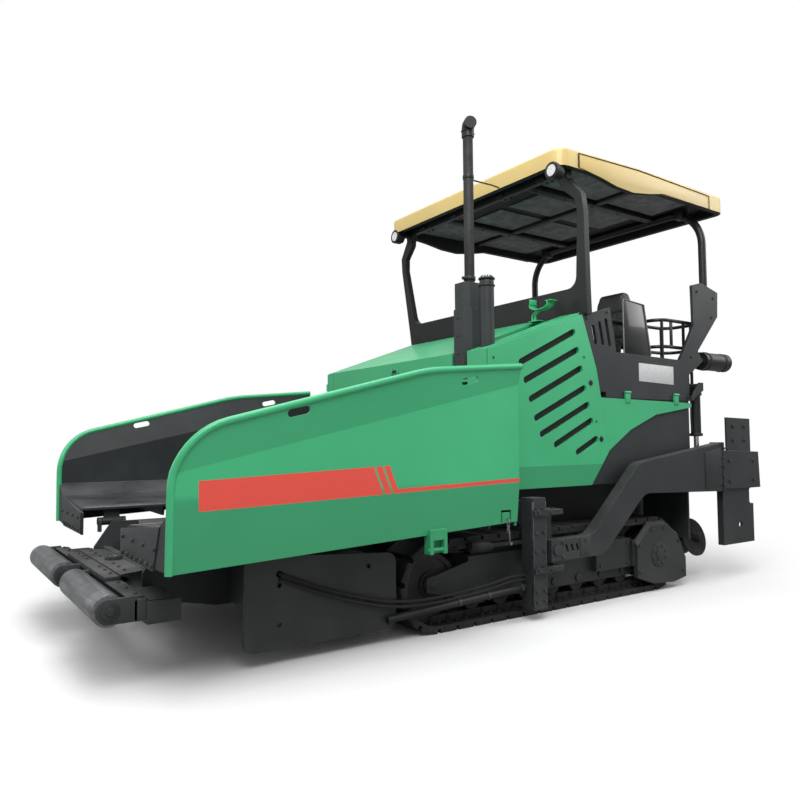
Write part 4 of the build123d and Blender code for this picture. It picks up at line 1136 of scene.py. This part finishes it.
class PAVER_OT_front(bpy.types.Operator):
    """Push beam and rollers, and the bolts, tubes and cables along the side frames."""

    bl_idname = "paver.front"
    bl_label = "Push beam"

    roller_y = (0.178, 1.168)
    roller_radius = 0.090
    pivot_x = 2.790
    cable = 0.022
    cable_spread = 0.034
    cut_corners = 0.990
    tube_ends = ((1.320, 1.276, 0.172), (0.090, 1.326, 0.250))
    arm_y = ((0.140, 0.164), (1.176, 1.200))
    beam_x = (2.885, 2.955)
    beam_top = 0.505
    deck = 0.543

    def execute(self, context):
        finish_one("push_beam_body", self.beam, "push_beam", "grey", 35.0, "push_beam")
        finish_pair("push_roller_body", self.roller, "push_roller_{side}", "worn", 35.0, "push_roller_{side}")
        finish_one("push_beam_bolts", self.bolts, "push_beam", "bolt")
        finish_one("push_beam_caps", self.caps, "push_beam", "cast")
        finish_one("push_beam_plates", self.plates, "push_beam", "grey")
        finish_both("side_frame_bolts", self.side_bolts, "tractor", "bolt")
        finish_both("side_frame_pipes", self.valves, "tractor", "cast")
        finish_one("cable_tube_pair", self.tubes, "tractor", "black", 35.0, "cable_tubes")
        finish_both("cable_tube_straps", self.straps, "tractor", "bolt")
        self.cables()
        return {"FINISHED"}

    def beam(self, bm):
        low, high = self.beam_x
        end = self.arm_y[1][1]
        x, z = PUSH_AXIS
        add_box(bm, (low, -end, 0.385), (high, end, self.beam_top), 0.004)
        add_box(bm, (low, -0.62, self.beam_top), (high + 0.028, 0.62, self.deck), 0.003)
        outline = ((low + 0.01, 0.64), (2.725, 0.56), (2.725, -0.56), (low + 0.01, -0.64))
        add_plate(bm, outline, "z", self.deck, self.deck + 0.012, 0.002)
        pivot = Vector((self.pivot_x, 0, self.deck))
        add_rod(bm, pivot + Vector((0, 0, 0.010)), pivot + Vector((0, 0, 0.042)), 0.060, 40, bevel=0.003)
        add_box(bm, (self.pivot_x, -0.105, 0.415), (low, 0.105, self.beam_top), 0.003)
        for s in (-1, 1):
            inner, outer = sorted((s * 0.78, s * end))
            add_box(bm, (2.69, inner, 0.357), (low, outer, 0.485), 0.006)
            inner, outer = sorted((s * 0.62, s * (end - 0.04)))
            add_box(bm, (low, inner, self.beam_top), (high + 0.028, outer, self.beam_top + 0.012), 0.003)
            for pair in self.arm_y:
                inner, outer = sorted(s * y for y in pair)
                nose = [(x + 0.074 * math.sin(math.radians(a)), z + 0.074 * math.cos(math.radians(a)))
                        for a in spread(20, 160, 14)]
                side = [(high - 0.02, 0.525)] + nose + [(high - 0.02, 0.385)]
                add_plate(bm, side, "y", inner, outer, 0.003)

    def roller(self, bm):
        x, z = PUSH_AXIS
        low, high = self.roller_y
        add_rod(bm, (x, low, z), (x, high, z), self.roller_radius, 56, bevel=0.004)

    def bolts(self, bm):
        for i in range(6):
            a = math.radians(60 * i)
            x, y = self.pivot_x + 0.042 * math.cos(a), 0.042 * math.sin(a)
            add_bolt(bm, (x, y, self.deck + 0.042), (0, 0, 1), 0.014)
        for s in (-1, 1):
            for y in spread(0.70, 1.10, 3):
                add_bolt(bm, (2.925, s * y, self.beam_top + 0.012), (0, 0, 1), 0.018)
            for y in spread(0.20, 0.50, 3):
                add_bolt(bm, (2.925, s * y, self.deck), (0, 0, 1), 0.018)
                add_bolt(bm, (2.840, s * y, self.deck + 0.012), (0, 0, 1), 0.018)

    def caps(self, bm):
        x, z = PUSH_AXIS
        for s in (-1, 1):
            y = s * self.arm_y[1][1]
            add_rod(bm, (x, y, z), (x, y + s * 0.006, z), 0.052, 40, bevel=0.002)
            add_rod(bm, (x, y + s * 0.006, z), (x, y + s * 0.014, z), 0.026, 24, bevel=0.002)
            add_rod(bm, (x, s * 0.1395, z), (x, s * 0.130, z), 0.050, 40, bevel=0.002)

    def plates(self, bm):
        for s in (-1, 1):
            low, high = sorted((s * 0.80, s * 1.18))
            add_box(bm, (2.72, low, 0.485), (2.87, high, 0.493), 0.002)

    def tubes(self, bm):
        add_pipe(bm, self.tube_ends, 0.026, 16, smooth=False)
        mirrored(bm)

    def straps(self, bm):
        start, end = (Vector(spot) for spot in self.tube_ends)
        for x in (0.12, 0.45, 0.72):
            spot = start.lerp(end, (start.x - x) / (start.x - end.x))
            add_rod(bm, spot + Vector((-0.012, 0, 0)), spot + Vector((0.012, 0, 0)), 0.030, 20, bevel=0.002)
            add_box(bm, spot + Vector((-0.012, -0.03, -0.008)), spot + Vector((0.012, 0, 0.008)), 0.002)
        add_bolt(bm, (0.13, 1.345, 0.250), (0, 1, 0), 0.030)

    def cables(self):
        """The two cables from the side frame to the tow point."""
        line_points = ((2.100, 1.2503, 0.560), (2.100, 1.272, 0.560), (1.720, 1.276, 0.400),
                       (1.172, 1.284, 0.250), (0.434, 1.306, 0.300), (0.208, 1.310, 0.345),
                       (0.0787, 1.312, 0.335))
        for number, shift in ((1, 0.0), (2, self.cable_spread)):
            route = [(x, y, z - shift) for x, y, z in line_points]
            curve = pipe_curve(f"side_cable_{number}", route, self.cable / 2, 3, 16)
            curve.materials.append(FINISH["rubber"])
            cord = bpy.data.objects.new(f"side_cable_{number}", curve)
            bpy.context.collection.objects.link(cord)
            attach(cord, "tractor")

    def side_bolts(self, bm):
        for x, z in ((2.10, 0.49), (2.10, 0.25), (1.45, 0.54), (1.45, 0.30)):
            add_ring(bm, (x, 1.2505, z), (0, 1, 0), 0.017, 0.003, 20)

    def valves(self, bm):
        add_rod(bm, (0.62, 1.302, 0.600), (0.46, 1.302, 0.590), 0.040, 32, bevel=0.004)
        add_rod(bm, (0.46, 1.302, 0.590), (0.40, 1.302, 0.586), 0.040, 32, 0.024)
        add_box(bm, (0.078, 1.296, 0.575), (0.42, 1.308, 0.605), 0.003)
        add_rod(bm, (0.56, 1.275, 0.597), (0.56, 1.330, 0.597), 0.018, 16)


class PAVER_OT_tow(bpy.types.Operator):
    """Bolts and slide plates of the tow points, arms and lift cylinders."""

    bl_idname = "paver.tow"
    bl_label = "Tow arms"

    def execute(self, context):
        finish_both("tow_guide_bolts", self.guide_bolts, "tractor", "bolt")
        finish_both("tow_guide_strips", self.guide_strips, "tractor", "worn")
        finish_pair("tow_slider_bolts", self.slider_bolts, "tow_slider_{side}", "bolt")
        finish_pair("tow_arm_bolts", self.arm_bolts, "tow_arm_{side}", "bolt")
        finish_pair("tow_arm_plates", self.arm_plates, "tow_arm_{side}", "grey")
        finish_pair("lift_barrel_bands", self.bands, "lift_barrel_{side}", "black")
        return {"FINISHED"}

    def guide_bolts(self, bm):
        for z in (0.665, 0.525, 0.225, 0.150):
            for x in (-0.035, 0.050):
                add_bolt(bm, (x, GUIDE_FACE, z), (0, 1, 0), 0.024)

    def guide_strips(self, bm):
        for x in (-0.0585, 0.0745):
            add_box(bm, (x, 1.395, 0.12), (x + 0.004, GUIDE_FACE + 0.002, 0.90), 0.001)

    def slider_bolts(self, bm):
        for z in (0.378, 0.815):
            for x in (-0.16, -0.02, 0.05):
                add_bolt(bm, (x, 1.39 if x < -0.1 else 1.44, z + 0.020), (0, 0, 1), 0.022)
            for x in (-0.09, 0.04):
                add_bolt(bm, (x, 1.446, z), (0, 1, 0), 0.020)

    def arm_bolts(self, bm):
        add_rod(bm, (-0.175, 1.425, 0.515), (-0.175, 1.432, 0.515), 0.040, 32, bevel=0.002)
        for x, z in ((-0.24, 0.46), (-0.24, 0.57), (-0.50, 0.47), (-0.50, 0.57)):
            add_bolt(bm, (x, GUIDE_FACE, z), (0, 1, 0), 0.022)
        for z in spread(0.92, 1.28, 5):
            add_bolt(bm, (-2.50, 1.430, z), (0, 1, 0), 0.020)
        for x, z in ((-2.95, 1.36), (-2.75, 1.36), (-2.95, 1.50), (-2.75, 1.50)):
            add_bolt(bm, (x, 1.384, z), (0, 1, 0), 0.030)
        for x, z in ((-2.62, 1.16), (-2.62, 0.96), (-3.05, 1.15), (-3.05, 0.96)):
            add_bolt(bm, (x, 1.414, z), (0, 1, 0), 0.026)

    def arm_plates(self, bm):
        add_box(bm, (-0.56, GUIDE_FACE, 0.445), (-0.44, GUIDE_FACE + 0.006, 0.59), 0.002)
        add_plate(bm, ((-2.49, 0.93), (-2.20, 0.90), (-2.20, 1.24), (-2.49, 1.29)), "y", GUIDE_FACE,
                  GUIDE_FACE + 0.006, 0.002)

    def bands(self, bm):
        x, y = -2.380, 1.220
        for z in (1.402, 1.800):
            add_rod(bm, (x, y, z), (x, y, z + 0.028), 0.062, 40, bevel=0.003)
        line = [(x + out, y, z) for out, z in ((0.055, 1.44), (0.075, 1.46), (0.075, 1.72), (0.055, 1.76))]
        add_pipe(bm, line, 0.009, 8)


class PAVER_OT_operator_place(bpy.types.Operator):
    """Side panels, rails, console, tread plate and rear doors of the operator's platform."""

    bl_idname = "paver.operator_place"
    bl_label = "Operator platform"

    panel_side = ((-0.699, 2.462), (-0.830, 2.470), (-1.085, 2.545), (-1.160, 2.150), (-2.100, 2.135),
                  (-2.172, 2.230), (-2.350, 2.498), (-2.342, 2.895), (-2.496, 2.935), (-2.780, 2.865),
                  (-2.765, 2.616), (-2.408, 2.243), (-2.480, 2.140), (-2.250, 2.000), (-2.250, 1.7903),
                  (-0.908, 1.7903), (-0.868, 1.980))
    console_top = ((-1.165, 2.494), (-1.385, 2.424), (-1.388, 2.433), (-1.168, 2.503))
    console_glass = ((-1.190, 2.4965), (-1.300, 2.462), (-1.302, 2.466), (-1.192, 2.5005))
    guard_side = ((-1.325, 2.14), (-1.330, 2.655), (-1.630, 2.630), (-1.720, 2.15))
    panel_slots = ((-0.873, 2.284, 0.176), (-0.962, 2.3025, 0.219), (-1.050, 2.3185, 0.255))

    def execute(self, context):
        finish_both("platform_sides", self.sides, "tractor", "grey", 35.0, "side_panels")
        finish_both("guard_rails", self.rails, "tractor", "black")
        finish_one("console_panel", self.console_panel, "tractor", "black")
        finish_one("console_knobs", self.knobs, "tractor", "rubber")
        finish_one("console_screens", self.screens, "tractor", "mesh")
        finish_both("side_name_plates", self.plates, "tractor", "plate")
        finish_both("seat_guards", self.guards, "tractor", "tinted")
        finish_both("seat_guard_rods", self.guard_rods, "tractor", "piping")
        finish_both("platform_tread", self.tread, "tractor", "tread")
        finish_both("panel_bolts", self.bolts, "tractor", "bolt")
        finish_one("rear_doors", self.rear_doors, "tractor", "grey")
        finish_one("rear_latches", self.rear_latches, "tractor", "black")
        return {"FINISHED"}

    def sides(self, bm):
        holes = [slot_line((x, z), length, 0.038, 78) for x, z, length in self.panel_slots]
        faces = fill_outline(bm, self.panel_side, holes, lambda x, z: (x, PANEL_SIDE, z))
        thicken(bm, faces, (0, -0.030, 0))

    def rails(self, bm):
        corners = ((-2.54, 0.80), (-1.93, 0.80), (-1.93, 1.165), (-2.54, 1.165))
        loop = rounded([(x, y, 0.13) for x, y in corners], 6)
        for z in (2.270, 2.530):
            add_pipe(bm, [(x, y, z) for x, y in loop], 0.017, 12, smooth=False, closed=True)
        for x, y in ((-2.44, 1.153), (-1.97, 1.153), (-2.44, 0.812), (-1.97, 0.812)):
            add_pipe(bm, [(x, y, 1.790), (x, y, 2.530)], 0.015, 12, smooth=False)
        for x in (-2.10, -2.30):
            add_box(bm, (x - 0.022, 1.160, 2.270), (x + 0.022, 1.168, 2.530), 0.002)

    def console_panel(self, bm):
        for y in (-0.39, 0.06):
            add_plate(bm, self.console_top, "y", y, y + 0.33, 0.002)
        for y in (-0.30, 0.30):
            add_rod(bm, (-1.33, y, 2.440), (-1.345, y, 2.540), 0.010, 12)
            add_rod(bm, (-1.345, y, 2.530), (-1.350, y, 2.585), 0.019, 20, 0.023, 0.004)
            add_rod(bm, (-1.33, y, 2.436), (-1.333, y, 2.462), 0.034, 24, 0.014)

    def knobs(self, bm):
        across = Vector((-0.2, 0, -0.064)).normalized()
        up = Vector((-0.3, 0, 0.954)).normalized()
        for row in range(3):
            for y in (-0.36, -0.32, -0.24, -0.20, -0.12, 0.10, 0.14, 0.20, 0.36):
                spot = Vector((-1.19, y, 2.494)) + across * 0.045 * row
                add_rod(bm, spot, spot + up * 0.016, 0.011, 12)

    def screens(self, bm):
        for y in (-0.09, 0.22):
            add_plate(bm, self.console_glass, "y", y, y + 0.13)

    def plates(self, bm):
        add_plate(bm, ((-1.470, 1.905), (-1.990, 1.890), (-1.990, 2.062), (-1.470, 2.072)), "y", PANEL_SIDE,
                  PANEL_SIDE + 0.003, 0.001)

    def guards(self, bm):
        add_plate(bm, self.guard_side, "y", 1.195, 1.203, 0.002)

    def guard_rods(self, bm):
        line = [(-1.325, 1.206, 2.14), (-1.325, 1.206, 2.63), (-1.340, 1.204, 2.655),
                (-1.630, 1.204, 2.630), (-1.720, 1.204, 2.16)]
        add_pipe(bm, line, 0.006, 8, smooth=False)

    def tread(self, bm):
        add_box(bm, (-2.20, 0.0, PLATFORM_TOP), (-1.42, 0.66, PLATFORM_TOP + 0.004), 0.001)

    def bolts(self, bm):
        for x, z in ((-0.78, 2.42), (-1.05, 2.50), (-2.42, 2.84), (-2.70, 2.80), (-2.66, 2.60),
                     (-2.30, 2.18)):
            add_bolt(bm, (x, PANEL_SIDE, z), (0, 1, 0), 0.020)

    def rear_doors(self, bm):
        for y in (-0.70, 0.26):
            add_box(bm, (-2.246, y, 1.02), (-2.240, y + 0.44, 1.70), 0.003)
        add_box(bm, (-2.246, -0.20, 1.10), (-2.240, 0.20, 1.66), 0.003)

    def rear_latches(self, bm):
        for y in (-0.30, 0.30):
            add_rod(bm, (-2.246, y, 1.38), (-2.256, y, 1.38), 0.026, 24, bevel=0.002)
        for y in spread(-0.62, -0.34, 4):
            add_rod(bm, (-2.246, y, 1.10), (-2.285, y, 1.10), 0.017, 20, bevel=0.002)


class PAVER_OT_seats(bpy.types.Operator):
    """Padded cushions and backs of the two seats, with their stands."""

    bl_idname = "paver.seats"
    bl_label = "Seats"

    middle = (-1.250, 0.880)
    top = 2.285
    back_side = ((-1.490, 2.215, 0.03), (-1.570, 2.795, 0.035), (-1.675, 2.795, 0.035), (-1.590, 2.215, 0.03))
    channels = (0.795, 0.965)
    back_half = 0.195
    back_heights = (2.35, 2.50, 2.60, 2.66, 2.71, 2.75, 2.78)
    shoulder = 2.560
    taper = 0.36

    def execute(self, context):
        cushion = swollen("seat_cushion", self.cushion, 0.010, 0.014, self.cushion_seam)
        finish_cushions("seat_cushion", cushion, "seat_cushions")
        back = swollen("seat_back", self.back, 0.010, 0.014, self.back_seam)
        finish_cushions("seat_back", back, "seat_backs")
        finish_both("seat_stands", self.stands, "tractor", "black", 35.0, "seat_bases")
        return {"FINISHED"}

    def cushion(self, bm):
        x, y = self.middle
        corners = [(x + a * 0.228, y + b * 0.228, 0.070) for a, b in ((1, 1), (1, -1), (-1, -1), (-1, 1))]
        add_plate(bm, rounded(corners, 6), "z", 2.178, self.top - 0.014, 0.022, 3)

    def stands(self, bm):
        x, y = self.middle
        add_box(bm, (x - 0.18, y - 0.19, PLATFORM_TOP), (x + 0.18, y + 0.19, 2.165), 0.010)
        add_box(bm, (x - 0.22, y - 0.21, 2.150), (x + 0.20, y + 0.21, 2.182), 0.006)
        for z in spread(1.90, 2.10, 5):
            add_box(bm, (x - 0.188, y - 0.198, z), (x + 0.188, y + 0.198, z + 0.016), 0.006)
        for s in (-1, 1):
            arm = [(x + a, y + s * 0.235, z) for a, z in
                   ((-0.27, 2.30), (-0.25, 2.44), (-0.20, 2.46), (0.08, 2.455))]
            add_pipe(bm, arm, 0.024, 12)

    def cushion_seam(self, spot, normal):
        x, y = self.middle
        sunk = 0.0
        if normal.z > 0.3:
            sunk = min(groove(spot.y - line, 0.009, 0.011) for line in self.channels)
            sunk = min(sunk, groove(spot.x - x + 0.07, 0.007, 0.011))
        round_edge = max(abs(spot.x - x), abs(spot.y - y))
        if normal.z > 0.2:
            sunk = min(sunk, groove(round_edge - 0.205, 0.006, 0.008))
        return normal * sunk

    def back(self, bm):
        y = self.middle[1]
        add_plate(bm, rounded(self.back_side, 4), "y", y - self.back_half, y + self.back_half, 0.030, 3)
        for z in self.back_heights:
            cut(bm, (0, 0, z), (0, 0, 1))
        for vert in bm.verts:
            high = max(0.0, (vert.co.z - self.shoulder) / 0.24)
            vert.co.y = y + (vert.co.y - y) * (1.0 - self.taper * high * high)

    def back_seam(self, spot, normal):
        y = self.middle[1]
        if normal.x < 0.4:
            return Vector()
        sunk = min(groove(spot.y - line, 0.009, 0.011) for line in self.channels) if spot.z < 2.58 else 0.0
        for line in (2.330, 2.450, 2.580):
            sunk = min(sunk, groove(spot.z - line, 0.008, 0.011))
        sunk = min(sunk, groove(abs(spot.y - y) - 0.170, 0.006, 0.009))
        return normal * sunk


class PAVER_OT_studio(bpy.types.Operator):
    """Set up the floor, the lights and the camera."""

    bl_idname = "paver.studio"
    bl_label = "Studio"

    camera_place = Vector((4.018, 5.341, 1.377))
    camera_yaw = -2.1763
    camera_pitch = 0.0570
    camera_roll = -0.0071
    camera_lens = 32.07
    low_sky = 0.22
    high_sky = 0.75

    def execute(self, context):
        self.make_floor()
        self.make_world(context)
        self.make_lights()
        self.make_camera(context)
        context.scene.view_settings.view_transform = "Standard"
        return {"FINISHED"}

    def make_floor(self):
        bm = bmesh.new()
        bmesh.ops.create_grid(bm, x_segments=1, y_segments=1, size=60.0)
        mesh = bpy.data.meshes.new("studio_floor")
        bm.to_mesh(mesh)
        bm.free()
        floor = bpy.data.objects.new("studio_floor", mesh)
        bpy.context.collection.objects.link(floor)
        g = Graph("floor_paper")
        x, y, _ = g.axes()
        away = (x * x + y * y * 2.2) ** 0.5
        grain = g.noise(30.0)
        tone = g.mix(grain, (0.86, 0.86, 0.86), (0.90, 0.90, 0.90))
        ray = g.node("ShaderNodeLightPath", out="Is Camera Ray")
        g.set(Base_Color=g.mix(ray, (0.30, 0.30, 0.30), tone), Roughness=0.9)
        glow = g.node("ShaderNodeEmission", {}, {"Color": (1, 1, 1, 1), "Strength": 1.0})
        far = away.ramp(4.0, 6.5)
        bare = Socket(g, g.shader.outputs[0])
        mixed = g.node("ShaderNodeMixShader", {}, {0: (far * ray).limited(), 1: bare, 2: glow})
        g.tree.links.new(mixed.output, g.tree.nodes["Material Output"].inputs["Surface"])
        mesh.materials.append(g.owner)

    def make_world(self, context):
        world = bpy.data.worlds.new("studio_world")
        context.scene.world = world
        g = Graph("studio_world", world)
        camera = g.node("ShaderNodeLightPath", out="Is Camera Ray")
        through = Socket(g, camera.output.node.outputs["Is Transmission Ray"])
        place = g.node("ShaderNodeTexCoord", out="Generated")
        height = Socket(g, g.node("ShaderNodeSeparateXYZ", {}, {0: place}).output.node.outputs["Z"])
        lit = g.node("ShaderNodeMapRange", {}, {0: height, 1: -0.3, 2: 0.9, 3: self.low_sky, 4: self.high_sky})
        level = g.node("ShaderNodeMix", {}, {"Factor": camera + through, "A": lit, "B": 1.0})
        g.set(Color=(1.0, 1.0, 1.0, 1.0), Strength=level)

    def make_lights(self):
        lamps = (("key", (4.0, 6.0, 8.0), 5.0, 520.0), ("fill", (8.0, -3.0, 4.0), 6.0, 110.0),
                 ("rear", (-7.0, 4.0, 6.0), 5.0, 170.0), ("top", (0.5, 0.0, 9.0), 7.0, 420.0))
        for name, place, size, power in lamps:
            light = bpy.data.lights.new(f"studio_{name}", "AREA")
            light.size = size
            light.energy = power
            lamp = bpy.data.objects.new(f"studio_{name}", light)
            lamp.location = place
            aim = Vector((0.0, 0.0, 1.2)) - Vector(place)
            lamp.rotation_mode = "QUATERNION"
            lamp.rotation_quaternion = aim.to_track_quat("-Z", "Y")
            bpy.context.collection.objects.link(lamp)

    def make_camera(self, context):
        yaw, pitch, roll = self.camera_yaw, self.camera_pitch, self.camera_roll
        ahead = Vector((math.cos(yaw) * math.cos(pitch), math.sin(yaw) * math.cos(pitch), math.sin(pitch)))
        across = Vector((math.sin(yaw), -math.cos(yaw), 0.0))
        above = across.cross(ahead)
        right = across * math.cos(roll) + above * math.sin(roll)
        up = above * math.cos(roll) - across * math.sin(roll)
        data = bpy.data.cameras.new("studio_camera")
        data.lens = self.camera_lens
        data.sensor_width = 36.0
        camera = bpy.data.objects.new("studio_camera", data)
        turn = Matrix((right, up, -ahead)).transposed().to_4x4()
        camera.matrix_world = Matrix.Translation(self.camera_place) @ turn
        context.collection.objects.link(camera)
        context.scene.camera = camera


OPERATORS = (
    PAVER_OT_finishes,
    PAVER_OT_wings,
    PAVER_OT_hood,
    PAVER_OT_canopy,
    PAVER_OT_tracks,
    PAVER_OT_front,
    PAVER_OT_tow,
    PAVER_OT_operator_place,
    PAVER_OT_seats,
    PAVER_OT_studio,
)


class PAVER_PT_panel(bpy.types.Panel):
    """Lists the steps that dress the paver."""

    bl_label = "Asphalt paver"
    bl_idname = "PAVER_PT_panel"
    bl_space_type = "VIEW_3D"
    bl_region_type = "UI"
    bl_category = "Paver"

    def draw(self, context):
        layout = self.layout
        for name in PaverColours.__annotations__:
            layout.prop(context.scene.paver_colours, name)
        for operator in OPERATORS:
            layout.operator(operator.bl_idname)


CLASSES = (PaverColours, *OPERATORS, PAVER_PT_panel)


def register():
    for cls in CLASSES:
        bpy.utils.register_class(cls)
    bpy.types.Scene.paver_colours = bpy.props.PointerProperty(type=PaverColours)


def unregister():
    del bpy.types.Scene.paver_colours
    for cls in reversed(CLASSES):
        bpy.utils.unregister_class(cls)


def main():
    """Register and run every step."""
    register()
    for operator in OPERATORS:
        group, name = operator.bl_idname.split(".")
        getattr(getattr(bpy.ops, group), name)()


if __name__ == "__main__":
    main()
